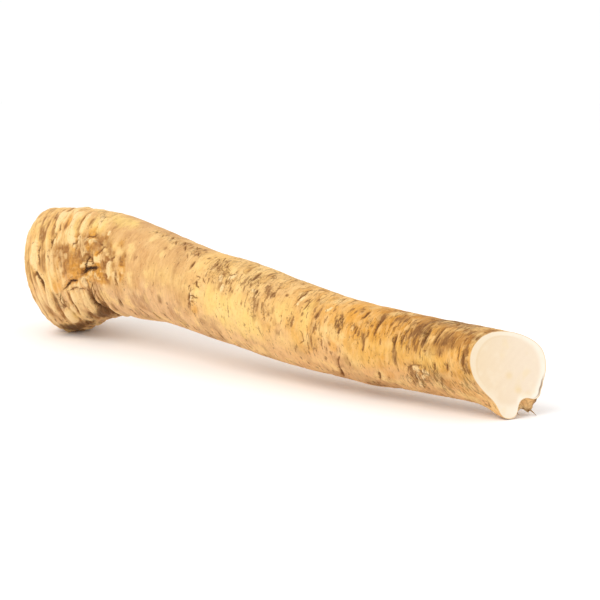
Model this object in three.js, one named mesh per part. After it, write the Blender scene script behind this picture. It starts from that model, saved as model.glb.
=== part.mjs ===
// A horseradish root, dug, washed and trimmed: one solid piece that lies on its own underside.
// It is a loft. Nearly round sections ride along a gently bending axis, from the fat crown where the
// leaves stood to the slanting knife cut at the thin end. Millimetres, +Z up: the root lies along X
// on z = 0 with its crown at -X, and the origin is the middle of its footprint.
import * as THREE from "three";

// ---- Driving dimensions ---------------------------------------------------------------------------

// The axis and the girth, station by station from crown to cut: where the middle of the section is
// (x along the root, y sideways, z above the table) and the section's mean radius r.
const STATIONS = [
  { x: -165.8, y: 3.0, z: 31.4, r: 31.4 }, // widest ring of the crown
  { x: -148, y: 2.3, z: 34.6, r: 28.4 },
  { x: -138, y: 1.9, z: 35.8, r: 26.7 },
  { x: -128, y: 1.4, z: 36.9, r: 25.0 },
  { x: -116, y: 1.0, z: 37.0, r: 23.5 }, // neck, held clear of the table by the crown
  { x: -98, y: 0.4, z: 35.5, r: 21.7 },
  { x: -78, y: -0.8, z: 33.9, r: 19.8 },
  { x: -56, y: -2.0, z: 31.0, r: 19.0 },
  { x: -33, y: -2.9, z: 29.0, r: 19.0 },
  { x: -9, y: -3.4, z: 25.3, r: 18.4 },
  { x: 15, y: -3.1, z: 22.5, r: 17.5 },
  { x: 40, y: -2.3, z: 20.6, r: 16.6 },
  { x: 64, y: -1.1, z: 20.4, r: 15.0 },
  { x: 86, y: 0.1, z: 20.8, r: 13.8 },
  { x: 104, y: 1.1, z: 20.2, r: 13.3 }, // middle of the knife cut
];

// The crown was trimmed close, so it ends in a blunt dome: its depth, and how square its shoulder is.
const DOME_DEPTH = 15;
const DOME_SQUARENESS = 2.9;

// Both ends slant. The crown grew up out of the ground at an angle, so it faces back, to -Y and down;
// the knife cut faces forward, to -Y and a little up. Each slant comes in over a share of the length.
const CROWN_FACING = new THREE.Vector3(-1, -0.45, -0.25).normalize();
const CROWN_RUN_UP = 0.26;
const CUT_FACING = new THREE.Vector3(1, -0.45, 0.15).normalize();
const CUT_RUN_UP = 0.2;

// No section is quite round: each is an oval, (long - short) / 2 of its radius, and the oval turns.
const OVALNESS = { crown: 0.025, cut: 0.087 };
const OVAL_TURN = { crown: 20, cut: -74 }; // degrees of its long axis from straight up, towards +Y

// Swellings on the loft: place along X, angle from straight up towards +Y in degrees, height, and how
// far each one spreads along the root and round it, as a bell's half-width.
const SWELLINGS = [
  { x: 92, angle: 181, height: 3.9, along: 22, round: 30 }, // side root growing along the belly
  { x: 106, angle: 183, height: 6.6, along: 5.5, round: 13 }, // its foot, where it turns away, cut through
  { x: 104, angle: 160, height: -3.0, along: 8, round: 10 }, // the furrow beside it
  { x: 99, angle: 147, height: 7.6, along: 2.8, round: 10 }, // broken side root just behind the cut
  { x: -166, angle: 178, height: 1.7, along: 12, round: 17 }, // sole of the crown, which it stands on
  { x: -109, angle: 178, height: -1.2, along: 5, round: 40 }, // crease under the neck
  { x: 46, angle: 186, height: 0.9, along: 6, round: 26 }, // low lump on the belly
  { x: -24, angle: 104, height: 2.6, along: 3.4, round: 9 }, // stub of a rootlet on the far side
  { x: -66, angle: 143, height: 1.9, along: 3.4, round: 9 }, // another, lower down
  { x: -128, angle: 62, height: 1.0, along: 8, round: 20 }, // shoulder of an old leaf base
];

// How finely the loft is faceted.
const SECTIONS = 70;
const CROWDING = 0.5; // 0 spaces the sections evenly, 1 crowds them into both ends
const SIDES = 60;
const DOME_RINGS = 6;

// ---- The loft -------------------------------------------------------------------------------------

const UP = new THREE.Vector3(0, 0, 1);
const spline = (points) => new THREE.CatmullRomCurve3(points, false, "catmullrom", 0.5);
const axis = spline(STATIONS.map(({ x, y, z }) => new THREE.Vector3(x, y, z)));
const girth = spline(STATIONS.map(({ r }) => new THREE.Vector3(r, 0, 0)));
const mix = THREE.MathUtils.lerp;
const bell = (distance, halfWidth) => Math.exp(-0.5 * (distance / halfWidth) ** 2);

// The section at share t of the axis: its middle, its three directions and its mean radius.
function sectionAt(t) {
  const middle = axis.getPoint(t);
  const forward = axis.getTangent(t);
  const side = new THREE.Vector3().crossVectors(UP, forward).normalize();
  const top = new THREE.Vector3().crossVectors(forward, side);
  return { t, middle, forward, side, top, radius: girth.getPoint(t).x };
}

// The unit vector from the section's middle at an angle from straight up towards +Y.
function spoke({ top, side }, angle) {
  return new THREE.Vector3()
    .addScaledVector(top, Math.cos(angle))
    .addScaledVector(side, Math.sin(angle));
}

// The distance from the axis to the skin: the mean radius, ovalled, plus the swellings.
function radiusAt({ t, middle, radius }, angle) {
  const turn = THREE.MathUtils.degToRad(mix(OVAL_TURN.crown, OVAL_TURN.cut, t));
  const oval = 1 + mix(OVALNESS.crown, OVALNESS.cut, t) * Math.cos(2 * (angle - turn));
  let swelling = 0;
  for (const bump of SWELLINGS) {
    const degrees = THREE.MathUtils.radToDeg(angle) - bump.angle;
    const round = THREE.MathUtils.euclideanModulo(degrees + 180, 360) - 180;
    swelling += bump.height * bell(middle.x - bump.x, bump.along) * bell(round, bump.round);
  }
  return radius * oval + swelling;
}

// How far a ring slides along the root, at each angle, to lie in the plane of its slanting end.
function slideAt(end, facing, angle) {
  const skin = spoke(end, angle).multiplyScalar(radiusAt(end, angle));
  return -skin.dot(facing) / end.forward.dot(facing);
}

const crown = sectionAt(0);
const cut = sectionAt(1);

// One closed ring of skin points. Near either end the rings lean, step by step, into its slant.
function bodyRing(t) {
  const section = sectionAt(t);
  const crownLean = 1 - THREE.MathUtils.smoothstep(t, 0, CROWN_RUN_UP);
  const cutLean = THREE.MathUtils.smoothstep(t, 1 - CUT_RUN_UP, 1);
  return ringOf((angle) => {
    const slide =
      crownLean * slideAt(crown, CROWN_FACING, angle) + cutLean * slideAt(cut, CUT_FACING, angle);
    return spoke(section, angle)
      .multiplyScalar(radiusAt(section, angle))
      .add(section.middle)
      .addScaledVector(section.forward, slide);
  });
}

// A ring of the blunt dome: a superellipse, from the crown's widest ring (0) to its pole (a quarter turn).
function domeRing(quarter) {
  const shrink = Math.cos(quarter) ** (2 / DOME_SQUARENESS);
  const depth = DOME_DEPTH * Math.sin(quarter) ** (2 / DOME_SQUARENESS);
  return ringOf((angle) =>
    spoke(crown, angle)
      .multiplyScalar(radiusAt(crown, angle) * shrink)
      .add(crown.middle)
      .addScaledVector(crown.forward, slideAt(crown, CROWN_FACING, angle) * shrink - depth),
  );
}

function ringOf(pointAt) {
  return Array.from({ length: SIDES }, (_, i) => pointAt((i / SIDES) * 2 * Math.PI));
}

// Rings from pole to cut, with one point to close each end.
const rings = [];
for (let i = 1; i <= DOME_RINGS; i++) rings.push(domeRing((Math.PI / 2) * (1 - i / (DOME_RINGS + 1))));
for (let i = 0; i <= SECTIONS; i++) {
  const even = i / SECTIONS;
  rings.push(bodyRing(mix(even, (1 - Math.cos(Math.PI * even)) / 2, CROWDING)));
}
const crownPole = crown.middle.clone().addScaledVector(crown.forward, -DOME_DEPTH);
const cutMiddle = cut.middle.clone();

// ---- The solid ------------------------------------------------------------------------------------

function closedLoft(rows, firstPole, lastPole) {
  const points = [...rows.flat(), firstPole, lastPole];
  const [first, last] = [points.length - 2, points.length - 1];
  const at = (row, i) => row * SIDES + (i % SIDES);
  const faces = [];
  for (let i = 0; i < SIDES; i++) {
    faces.push(first, at(0, i), at(0, i + 1));
    faces.push(last, at(rows.length - 1, i + 1), at(rows.length - 1, i));
    for (let row = 0; row + 1 < rows.length; row++) {
      faces.push(at(row, i), at(row + 1, i), at(row, i + 1));
      faces.push(at(row, i + 1), at(row + 1, i), at(row + 1, i + 1));
    }
  }
  const geometry = new THREE.BufferGeometry().setFromPoints(points);
  geometry.setIndex(faces);
  return geometry;
}

// The root's weight has pressed its lowest skin flat, under the crown and under the cut side root.
for (const point of [...rings.flat(), crownPole, cutMiddle]) point.z = Math.max(point.z, 0);

const geometry = closedLoft(rings, crownPole, cutMiddle);
geometry.computeBoundingBox();
const footprint = geometry.boundingBox.getCenter(new THREE.Vector3());
geometry.translate(-footprint.x, -footprint.y, 0);
geometry.computeVertexNormals();

const bark = new THREE.MeshStandardMaterial({ color: 0xdcae70, roughness: 0.7, metalness: 0 });
const root = new THREE.Mesh(geometry, bark);
root.name = "horseradish_root";

const horseradish = new THREE.Group();
horseradish.add(root);
export default horseradish;
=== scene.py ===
# %% Load the fixed frame
import math

import bpy
import numpy as np
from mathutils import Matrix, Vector
from mathutils.bvhtree import BVHTree


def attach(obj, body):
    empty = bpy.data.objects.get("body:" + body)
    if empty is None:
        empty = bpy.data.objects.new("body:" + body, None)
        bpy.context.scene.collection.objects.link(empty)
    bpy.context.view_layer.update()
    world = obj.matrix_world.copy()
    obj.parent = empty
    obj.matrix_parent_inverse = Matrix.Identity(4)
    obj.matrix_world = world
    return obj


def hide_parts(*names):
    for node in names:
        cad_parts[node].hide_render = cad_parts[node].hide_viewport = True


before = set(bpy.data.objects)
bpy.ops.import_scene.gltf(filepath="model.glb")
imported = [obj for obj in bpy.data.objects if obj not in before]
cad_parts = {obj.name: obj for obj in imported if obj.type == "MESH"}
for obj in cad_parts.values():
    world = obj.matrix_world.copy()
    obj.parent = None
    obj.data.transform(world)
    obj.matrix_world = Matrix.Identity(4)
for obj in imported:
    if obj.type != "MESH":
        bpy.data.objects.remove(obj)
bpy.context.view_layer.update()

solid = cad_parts["horseradish_root"]

# %% [markdown]
# # A horseradish root, crown to cut
#
# The root was dug, washed and trimmed. Its crown, where the leaves stood, is fat and ringed with leaf
# scars. Its body bends gently and its corky bark is crossed by short wrinkles. Its thin end was cut on
# the slant with a knife and shows the creamy flesh.
#
# The plain solid in the frame already has the right size and bends. This lesson wraps a fine net
# round that solid, pushes the net in and out to make the bark's relief, and paints the bark with
# masks that come from the very same relief: painted shade in each groove, darker where it is deep,
# and a painted highlight on each crest.
#
# All lengths here are in millimetres until the mesh is made. Every place on the bark has two
# addresses: `along`, the millimetres from the middle of the root towards the cut, and `turn`, the
# angle round the root, where 0 is the top, 90 degrees the far side (+Y) and 270 the near side.

# %% Read the solid's corners and facets
MM = 0.001


def numbers_of(items, name, width, kind=np.float32):
    """One property of every item of a mesh, as a whole array with `width` numbers to a row."""
    flat = np.empty(len(items) * width, kind)
    items.foreach_get(name, flat)
    return flat.reshape(-1, width) if width > 1 else flat


corners = numbers_of(solid.data.vertices, "co", 3).astype(float) / MM
facet_normals = numbers_of(solid.data.polygons, "normal", 3).astype(float)
facet_areas = numbers_of(solid.data.polygons, "area", 1).astype(float)
facet_middles = numbers_of(solid.data.polygons, "center", 3).astype(float) / MM
skin = BVHTree.FromPolygons(corners.tolist(), [tuple(p.vertices) for p in solid.data.polygons])
print("root:", (corners.max(0) - corners.min(0)).round(1), "mm")

# %% [markdown]
# ## Where the knife went
#
# The cut is the solid's only large flat face. Its facets all share one normal, so the normal is the
# average over the facets that face forward at the thin end, taken twice: the second time only over
# facets that agree with the first average.

# %% Find the knife cut
THIN_END = 0.8  # share of the way to the root's tip where the thin end starts
FORWARD = 0.8  # cosine of the widest angle between a cut facet's normal and the root's length
ALIKE = (0.95, 0.9995)  # how near to 1 the cosine with the average must be, the first and the last time
thin_end = facet_middles[:, 0] > THIN_END * corners[:, 0].max()
facing = thin_end & (facet_normals[:, 0] > FORWARD)
for cosine in ALIKE:
    cut_normal = (facet_normals[facing] * facet_areas[facing, None]).sum(0)
    cut_normal /= np.linalg.norm(cut_normal)
    facing = thin_end & (facet_normals @ cut_normal > cosine)
cut_middle = (facet_middles[facing] * facet_areas[facing, None]).sum(0) / facet_areas[facing].sum()
print("cut:", facing.sum(), "facets, middle", cut_middle.round(1), "facing", cut_normal.round(3))

# %% [markdown]
# ## A line through the root's middle
#
# Slabs 8 mm thick are taken across the root. The middle of each slab's box is one point of the
# centreline, and a fifth-degree curve drawn through those points smooths them. Past the first and the
# last slab the line runs on straight.

# %% Draw the centreline
SLAB_PLACES = np.arange(-112.0, 126.0, 7.0)
SLAB_THICKNESS = 8.0
BEND_DEGREE = 5
slab_middles = []
for place in SLAB_PLACES:
    slab = corners[np.abs(corners[:, 0] - place) < SLAB_THICKNESS / 2, 1:]
    slab_middles.append((slab.min(0) + slab.max(0)) / 2)
bends = [np.polyfit(SLAB_PLACES, middles, BEND_DEGREE) for middles in np.array(slab_middles).T]


def centreline(x):
    """Points on the root's middle line: (x, polynomial of x, another polynomial of x)."""
    x = np.asarray(x, float)
    inside = np.clip(x, SLAB_PLACES[0], SLAB_PLACES[-1])
    y, z = (
        np.polyval(bend, inside) + np.polyval(np.polyder(bend), inside) * (x - inside) for bend in bends
    )
    return np.stack([x, y, z], -1)


print("centreline height, crown to cut:", centreline([-120, -60, 0, 60, 120])[:, 2].round(1))

# %% [markdown]
# ## A net of rings
#
# The net has a row for each ring and a column for each direction round the root. In the body, a ring
# lies in a plane across the root. Towards the cut the planes lean until they match the knife's, and
# towards the crown they lean the other way, because the crown grew up out of the soil at an angle and
# its leaf scars follow that angle. Past the crown's widest ring the rows fan out over the dome until
# they meet at its pole.

# %% Set out the net
RINGS = 590
SPOKES = 154
CROWN_X = -117.0  # where the fan of the dome starts
CUT_X = float(cut_middle[0])
DOME_REACH = 46.0  # length of skin from the pole to the widest ring
CROWN_LEAN = np.array([0.83, 0.50, 0.22])  # which way the crown's rings face, seen from the crown
LEAN_OVER = (78.0, 44.0)  # how far the lean takes to fade, from the crown and from the cut


def unit(v):
    """Vectors scaled to length 1."""
    return v / np.linalg.norm(v, axis=-1, keepdims=True)


def ease(x):
    """0 below 0, 1 above 1, and 3x^2 - 2x^3 between: a smooth step."""
    x = np.clip(x, 0, 1)
    return x * x * (3 - 2 * x)


def ring_planes(along):
    """For each ring: its middle, its forward normal, and the two directions that span it.

    The normal is +X plus a share of the crown's lean and of the cut's lean."""
    middle = centreline(along)
    crown_share = 1 - ease((along - CROWN_X) / LEAN_OVER[0])
    cut_share = 1 - ease((CUT_X - along) / LEAN_OVER[1])
    straight = np.array([1.0, 0, 0])
    forward = straight + crown_share[:, None] * (unit(CROWN_LEAN) - straight)
    forward = unit(forward + cut_share[:, None] * (cut_normal - straight))
    side = unit(np.cross([0, 0, 1.0], forward))
    top = np.cross(forward, side)
    return middle, forward, side, top


def spokes(distance, turn):
    """Where each ray starts and which way it points, over the whole net.

    `distance` runs over the skin from the pole, through DOME_REACH at the widest ring, to the cut.
    In the dome the rays tip back by an angle that grows to a quarter turn at the pole."""
    along = np.maximum(distance - DOME_REACH, 0) + CROWN_X
    tip = (math.pi / 2) * np.clip(1 - distance / DOME_REACH, 0, 1)
    middle, forward, side, top = ring_planes(along)
    across = (
        np.cos(turn)[None, :, None] * top[:, None] + np.sin(turn)[None, :, None] * side[:, None]
    )
    rays = np.cos(tip)[:, None, None] * across - np.sin(tip)[:, None, None] * forward[:, None]
    return middle[:, None] + 0 * rays, rays, forward


SKIN_LENGTH = DOME_REACH + CUT_X - CROWN_X
print("skin from pole to cut:", round(SKIN_LENGTH, 1), "mm")

# %% [markdown]
# ## Measure the skin, then smooth it
#
# A coarse net of rays measures how far the solid's skin is from the centreline. The solid is made
# of flat facets, so the distances are blurred a little and then read between by a cubic spline, which
# takes the facets away and leaves the shape.

# %% Measure with rays
COARSE_RINGS = 150
COARSE_SPOKES = 96
CLEAR_OF_POLE, CLEAR_OF_CUT = 0.6, 0.4  # mm that the coarse net keeps away from either end


def measure(starts, rays):
    """Distance from each start to the solid's skin along its ray."""
    found = [
        skin.ray_cast(Vector(start), Vector(ray))[3]
        for start, ray in zip(starts.reshape(-1, 3), rays.reshape(-1, 3))
    ]
    return np.array(found, float).reshape(starts.shape[:2])


coarse_distance = np.linspace(CLEAR_OF_POLE, SKIN_LENGTH - CLEAR_OF_CUT, COARSE_RINGS)
coarse_turn = np.arange(COARSE_SPOKES) * 2 * np.pi / COARSE_SPOKES
starts, rays, _ = spokes(coarse_distance, coarse_turn)
coarse_radius = measure(starts, rays)
print("radius at crown, middle, cut:", coarse_radius.mean(1)[[25, 75, -1]].round(1), "mm")


# %% Smooth the distances and read between them
def blur(values, spread, axis, wraps):
    """Each value becomes a bell-weighted mean of its neighbours: weights exp(-d^2 / (2 spread^2))."""
    reach = int(3 * spread + 1)
    offsets = np.arange(-reach, reach + 1)
    weights = np.exp(-0.5 * (offsets / spread) ** 2)
    weights /= weights.sum()
    index = np.arange(values.shape[axis])[:, None] + offsets
    last = values.shape[axis] - 1
    index = index % (last + 1) if wraps else np.clip(index, 0, last)
    return np.moveaxis(np.moveaxis(values, axis, 0)[index].swapaxes(1, -1) @ weights, 0, axis)


def spline_weights(places, count, wraps):
    """A matrix that reads a row of `count` values at `places`, with the cubic B-spline's weights."""
    cell = np.floor(places).astype(int)
    f = places - cell
    four = [(1 - f) ** 3, 3 * f**3 - 6 * f**2 + 4, -3 * f**3 + 3 * f**2 + 3 * f + 1, f**3]
    matrix = np.zeros((len(places), count))
    for offset, weight in zip((-1, 0, 1, 2), four):
        column = (cell + offset) % count if wraps else np.clip(cell + offset, 0, count - 1)
        np.add.at(matrix, (np.arange(len(places)), column), weight / 6)
    return matrix


POLE_RING = 0.9  # mm of skin between the pole and the first ring
distance = np.linspace(POLE_RING, SKIN_LENGTH, RINGS)
turn = np.arange(SPOKES) * 2 * np.pi / SPOKES
ring_gap = distance[1] - distance[0]
smooth_radius = blur(blur(coarse_radius, 0.8, 0, False), 0.6, 1, True)
places_along = (distance - coarse_distance[0]) / (coarse_distance[1] - coarse_distance[0])
read_along = spline_weights(places_along, COARSE_RINGS, False)
read_round = spline_weights(turn / coarse_turn[1], COARSE_SPOKES, True)
radius = read_along @ smooth_radius @ read_round.T
starts, rays, forward = spokes(distance, turn)
bare_skin = starts + rays * radius[..., None]
print("net:", radius.shape, "rings by spokes,", round(ring_gap, 2), "mm apart along the root")

# %% [markdown]
# ## Addresses on the bark
#
# `ALONG` and `TURN` say where each net point is. Past the widest ring `ALONG` goes on counting back
# over the dome. `GIRTH` is the mean radius of the ring, which turns an angle into millimetres.

# %% Give every net point its address
ALONG = np.repeat((CROWN_X + distance - DOME_REACH)[:, None], SPOKES, 1)
TURN = np.repeat(turn[None], RINGS, 0)
into_dome = np.clip(1 - distance / DOME_REACH, 0, 1)
GIRTH = np.repeat((radius.mean(1) * np.cos(math.pi / 2 * into_dome)).clip(1)[:, None], SPOKES, 1)


def round_mm(turn_degrees):
    """Millimetres round the skin from a direction, the short way, positive towards larger turns."""
    away = (TURN - math.radians(turn_degrees) + math.pi) % (2 * math.pi) - math.pi
    return away * GIRTH


def outward(points):
    """Unit normals of a net: the cross product of its slopes down the rows and round the columns."""
    down_rows = np.gradient(points, axis=0)
    round_columns = (np.roll(points, -1, 1) - np.roll(points, 1, 1)) / 2
    return unit(np.cross(down_rows, round_columns))


skin_normals = outward(bare_skin)
print("girth from", GIRTH.min().round(1), "to", GIRTH.max().round(1), "mm, normals point out:",
      ((skin_normals * rays).sum(-1) > 0).mean().round(3))

# %% [markdown]
# ## Repeatable chance
#
# Bark is irregular, but the script must make the same root each time. `scramble` turns the whole
# numbers that name a cell into a number from 0 to 1 by multiplying and shifting their bits, so the
# same cell always draws the same lot. `mottle` lays those lots on a grid ruled on the skin and blends
# between them. Its cells go round the root a whole number of times, so there is no seam.


# %% Chance and blotches
def scramble(seed, *cells):
    """A number from 0 to 1 for each cell: its bits times odd factors, shifted onto themselves."""
    mixed = np.full(np.shape(cells[0]), (seed * 2654435761 + 12345) & 0xFFFFFFFF, np.uint32)
    for cell, factor in zip(cells, (2246822519, 3266489917)):
        whole = (np.asarray(cell).astype(np.int64) & 0xFFFFFFFF).astype(np.uint32)
        mixed = mixed ^ whole * np.uint32(factor)
        mixed = (mixed ^ (mixed >> np.uint32(15))) * np.uint32(739982445)
        mixed = (mixed ^ (mixed >> np.uint32(12))) * np.uint32(695872825)
        mixed = mixed ^ (mixed >> np.uint32(15))
    return mixed / 4294967296.0


def mottle(pitch, around, seed):
    """Smooth blotches from -1 to 1, each `pitch` mm long, with `around` of them to the turn.

    Each corner of the ruled cells has a level; between corners they blend by 6f^5 - 15f^4 + 10f^3."""
    u, v = ALONG / pitch, TURN / (2 * np.pi) * around
    i, j = np.floor(u), np.floor(v)
    f, g = (w**3 * (w * (w * 6 - 15) + 10) for w in (u - i, v - j))
    corner = [[scramble(seed, i + a, (j + b) % around) * 2 - 1 for b in (0, 1)] for a in (0, 1)]
    near, far = (row[0] * (1 - g) + row[1] * g for row in corner)
    return near * (1 - f) + far * f


def rough(pitch, around, seed, layers=4):
    """Blotches on blotches: each layer is half as long, twice as many and half as strong."""
    total = sum(mottle(pitch / 2**k, around * 2**k, seed + k) * 0.5**k for k in range(layers))
    return total / sum(0.5**k for k in range(layers))


print("blotches spread by", rough(20, 4, 1).std().round(2), "about", rough(20, 4, 1).mean().round(2))

# %% [markdown]
# ## Shapes to place on the bark
#
# Two helpers place a thing by its address. `patch` is an oval with a ragged edge. `line` is a crack
# or a ridge drawn through a few addresses. For each net point it tells how far across the line the
# point is, counted in half-widths and with a sign for the side. The sign matters: a material can find
# the exact place where the number passes zero, so it can draw a crack finer than the net.


# %% Ovals and lines by address
def patch(along, turn_degrees, half_along, half_round, soft=0.35, ragged=0.3, seed=5):
    """1 inside an oval on the skin and 0 outside; its edge is soft and pushed about by blotches."""
    reach = np.hypot((ALONG - along) / half_along, round_mm(turn_degrees) / half_round)
    reach = reach + ragged * rough(5, 16, seed, 3)
    return 1 - ease((reach - 1 + soft) / (2 * soft))


def line(path, half_width, seed=3, wobble=0.3):
    """How far across a line each point is, in half-widths, and the line's strength there.

    The path is a row of numbers: along, turn, along, turn and so on, through all its addresses.
    Strength is 1 along the line and tapers over its first and last quarter. It stays up for 1.3 mm
    to either side, so that a crack finer than the net still has its distance on both sides."""
    shake = wobble * rough(3.0, 40, seed, 2)
    nearest = np.full_like(ALONG, 1e9)
    across = np.zeros_like(ALONG)
    passed = np.zeros_like(ALONG)
    ends = list(zip(path[::2], path[1::2]))
    for k, ((a0, t0), (a1, t1)) in enumerate(zip(ends, ends[1:])):
        x, y = ALONG - a0 + shake, round_mm(t0) + shake
        dx = a1 - a0
        dy = math.radians(t1 - t0) * GIRTH
        share = np.clip((x * dx + y * dy) / (dx * dx + dy * dy), 0, 1)
        away = np.hypot(x - share * dx, y - share * dy)
        closer = away < nearest
        nearest = np.where(closer, away, nearest)
        across = np.where(closer, away * np.sign(x * dy - y * dx), across)
        passed = np.where(closer, (k + share) / (len(ends) - 1), passed)
    taper = ease(passed / 0.25) * ease((1 - passed) / 0.25)
    width = half_width * (0.55 + 0.45 * taper)
    strength = (0.25 + 0.75 * taper) * (1 - ease((nearest - np.maximum(2.5 * width, 1.3)) / 0.9))
    return across / width, strength


def stronger(first, second):
    """Of two sets of lines, keeps at each point the one that marks it more."""
    weigh = [strength * np.exp(-(across**2) / 4) for across, strength in (first, second)]
    take = weigh[1] > weigh[0]
    return tuple(np.where(take, b, a) for a, b in zip(first, second))


def trough(across):
    """A groove's cross-section: -exp(-w^2), with a lip 0.45 high beside it towards the crown."""
    return -np.exp(-(across**2)) + 0.45 * np.exp(-(((across + 2.0) / 1.0) ** 2))


example = (patch(0, 270, 5, 5) * GIRTH).sum() * turn[1] * ring_gap
print("an oval 10 mm long and 10 mm wide covers", round(float(example)), "mm2")

# %% [markdown]
# ## Regions
#
# Four kinds of bark follow each other from crown to cut: the folded crown, a rough patch where old
# leaf bases tore away, a smooth neck, and the long body with its short wrinkles. Each region is a
# mask from 0 to 1, and everything below is multiplied by one of them.


# %% Divide the bark into regions
CROWN_ENDS, NECK_STARTS, NECK_FADES = -88, -84, -22  # along


def towards(degrees):
    """The cosine of the angle between each point's turn and a direction: 1 there, -1 opposite."""
    return np.cos(TURN - math.radians(degrees))


patch_rough = patch(-85, 286, 26, 15, soft=0.45, ragged=0.5, seed=62)
crown = 1 - ease((ALONG - CROWN_ENDS - 9 * towards(215) + 5 * rough(30, 5, 41)) / 12)
crown = crown * (1 - 0.85 * patch_rough)
neck = ease((ALONG - NECK_STARTS) / 14) * (1 - ease((ALONG - NECK_FADES) / 26)) * (1 - patch_rough)
body = np.clip(1 - crown - patch_rough - 0.8 * neck, 0, 1)
for name, mask in (("crown", crown), ("rough patch", patch_rough), ("neck", neck), ("body", body)):
    print(name, "covers", mask.mean().round(2))

# %% [markdown]
# ## The crown's folds
#
# Every leaf leaves a fold of bark that runs part of the way round. Three sets of folds are laid over
# each other: broad ones about 9 mm apart, narrow ones about 4 mm apart and fine ones about 2 mm apart.
# Each fold has a rounded crest and a sharp valley, and a strength that comes and goes round the root,
# so no ring is complete.


# %% Fold the crown
FOLD_CHANGES = 6  # how often a fold's strength is drawn anew on its way round


def folds(pitch, seed, sway):
    """Folds across the root: their height from 0 to 1, the mm to the nearest valley, their strength.

    Height is |sin(pi phase)|^0.6 times the fold's strength, where phase counts the folds."""
    wander = sway * (rough(26, 4, seed, 3) + 0.5 * rough(12, 9, seed + 3, 2))
    phase = (ALONG + wander + 0.1 * pitch * rough(4, 16, seed + 5, 2)) / pitch
    number = np.floor(phase)
    v = TURN / (2 * np.pi) * FOLD_CHANGES
    here, there = (scramble(seed + 9, number, (np.floor(v) + b) % FOLD_CHANGES) for b in (0, 1))
    strength = 0.25 + 0.75 * (here + (there - here) * ease(v - np.floor(v)))
    height = np.abs(np.sin(np.pi * phase)) ** 0.6 * strength
    from_valley = (phase - np.round(phase)) * pitch
    return height, from_valley, strength


broad, _, _ = folds(9.2, 51, 4.4)
narrow, narrow_across, narrow_strength = folds(3.7, 151, 3.4)
fine, _, _ = folds(1.9, 251, 1.6)
near_side = ease((towards(275) + 0.1) / 0.6)
dome_fade = 1 - 0.35 * ease((-116 - ALONG) / 14)
fold_relief = (1.6 * (broad - 0.45) + 0.8 * (narrow - 0.42)) * (1 - 0.7 * near_side) + 0.3 * (fine - 0.4)
fold_relief = fold_relief * dome_fade
SEAM = 0.45  # mm, half-width of the dark line in a valley
seams = (narrow_across / SEAM, crown * ease(narrow_strength * 2.2 - 1.2) * 0.5 * (1 - 0.8 * near_side))
print("folds from", fold_relief.min().round(2), "to", fold_relief.max().round(2), "mm")

# %% [markdown]
# On the near side the main folds are placed one by one: crests that get a painted highlight, and
# valleys between them that get painted shade.
# Each row of the table gives the fold's half-width and its height in millimetres, a valley's below zero,
# and then the along and turn of each address that it passes.

# %% Place the near side's folds
FOLD_LINES = [  # half-width, height, then along and turn of each address
    (2.7, 1.3, -98.3, 298, -100, 315, -100.5, 338, -99, 358), (2.3, 1, -110, 316, -110.5, 333, -111, 354),
    (1.7, 0.7, -93, 308, -93, 330, -92.5, 350), (1.9, 0.8, -127.5, 286, -125, 303, -122, 318),
    (2.3, 1.2, -105, 255, -105, 240, -105.3, 222, -105.3, 203),
    (2.3, 1.1, -115, 240, -114.5, 226, -113, 212), (2.8, 1.1, -97.5, 250, -98, 235, -97, 217, -96, 198),
    (1.5, 0.6, -86, 352, -82, 335, -79, 322), (1.6, 0.7, -121, 262, -121.5, 246, -120, 228),
    (1.9, -0.9, -104.2, 352, -104.6, 335, -105.6, 317), (2.1, -0.7, -95.6, 348, -96, 325, -96.5, 302),
    (1.4, -0.5, -115, 352, -114.2, 335, -113, 318, -113, 300),
    (1.1, -1.3, -108.2, 254, -108.2, 238, -107.5, 218), (2, -1, -102, 224, -101.5, 208, -101, 188),
    (1.1, -0.9, -118.8, 264, -119, 245, -118, 222), (1.3, -0.5, -88.5, 346, -88, 330, -87.5, 318),
    (1.5, -0.5, -120, 330, -119.5, 308, -119, 288), (1.4, -0.8, -125.5, 250, -125, 232, -122, 214),
    (2.4, -1.7, -89, 254, -91.5, 240, -91.5, 228, -88, 214, -86, 198),
    (1.8, -1, -84, 232, -84, 218, -83, 200),
]
placed_folds = np.zeros_like(ALONG)
for k, (half_width, height, *path) in enumerate(FOLD_LINES):
    across, strength = line(path, half_width, seed=500 + k, wobble=0.9)
    placed_folds = placed_folds + height * strength * np.exp(-(across**2))
print(len(FOLD_LINES), "folds:", placed_folds.min().round(2), "to", placed_folds.max().round(2), "mm")

# %% [markdown]
# ## Wrinkles
#
# As the root loses water its bark puckers into short lens-shaped wrinkles that run round it. Each is
# a groove with a raised lip. They are scattered one to a cell, each with its own place, length, width
# and slant, and they are many where `share` is high and few where it is low.


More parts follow.
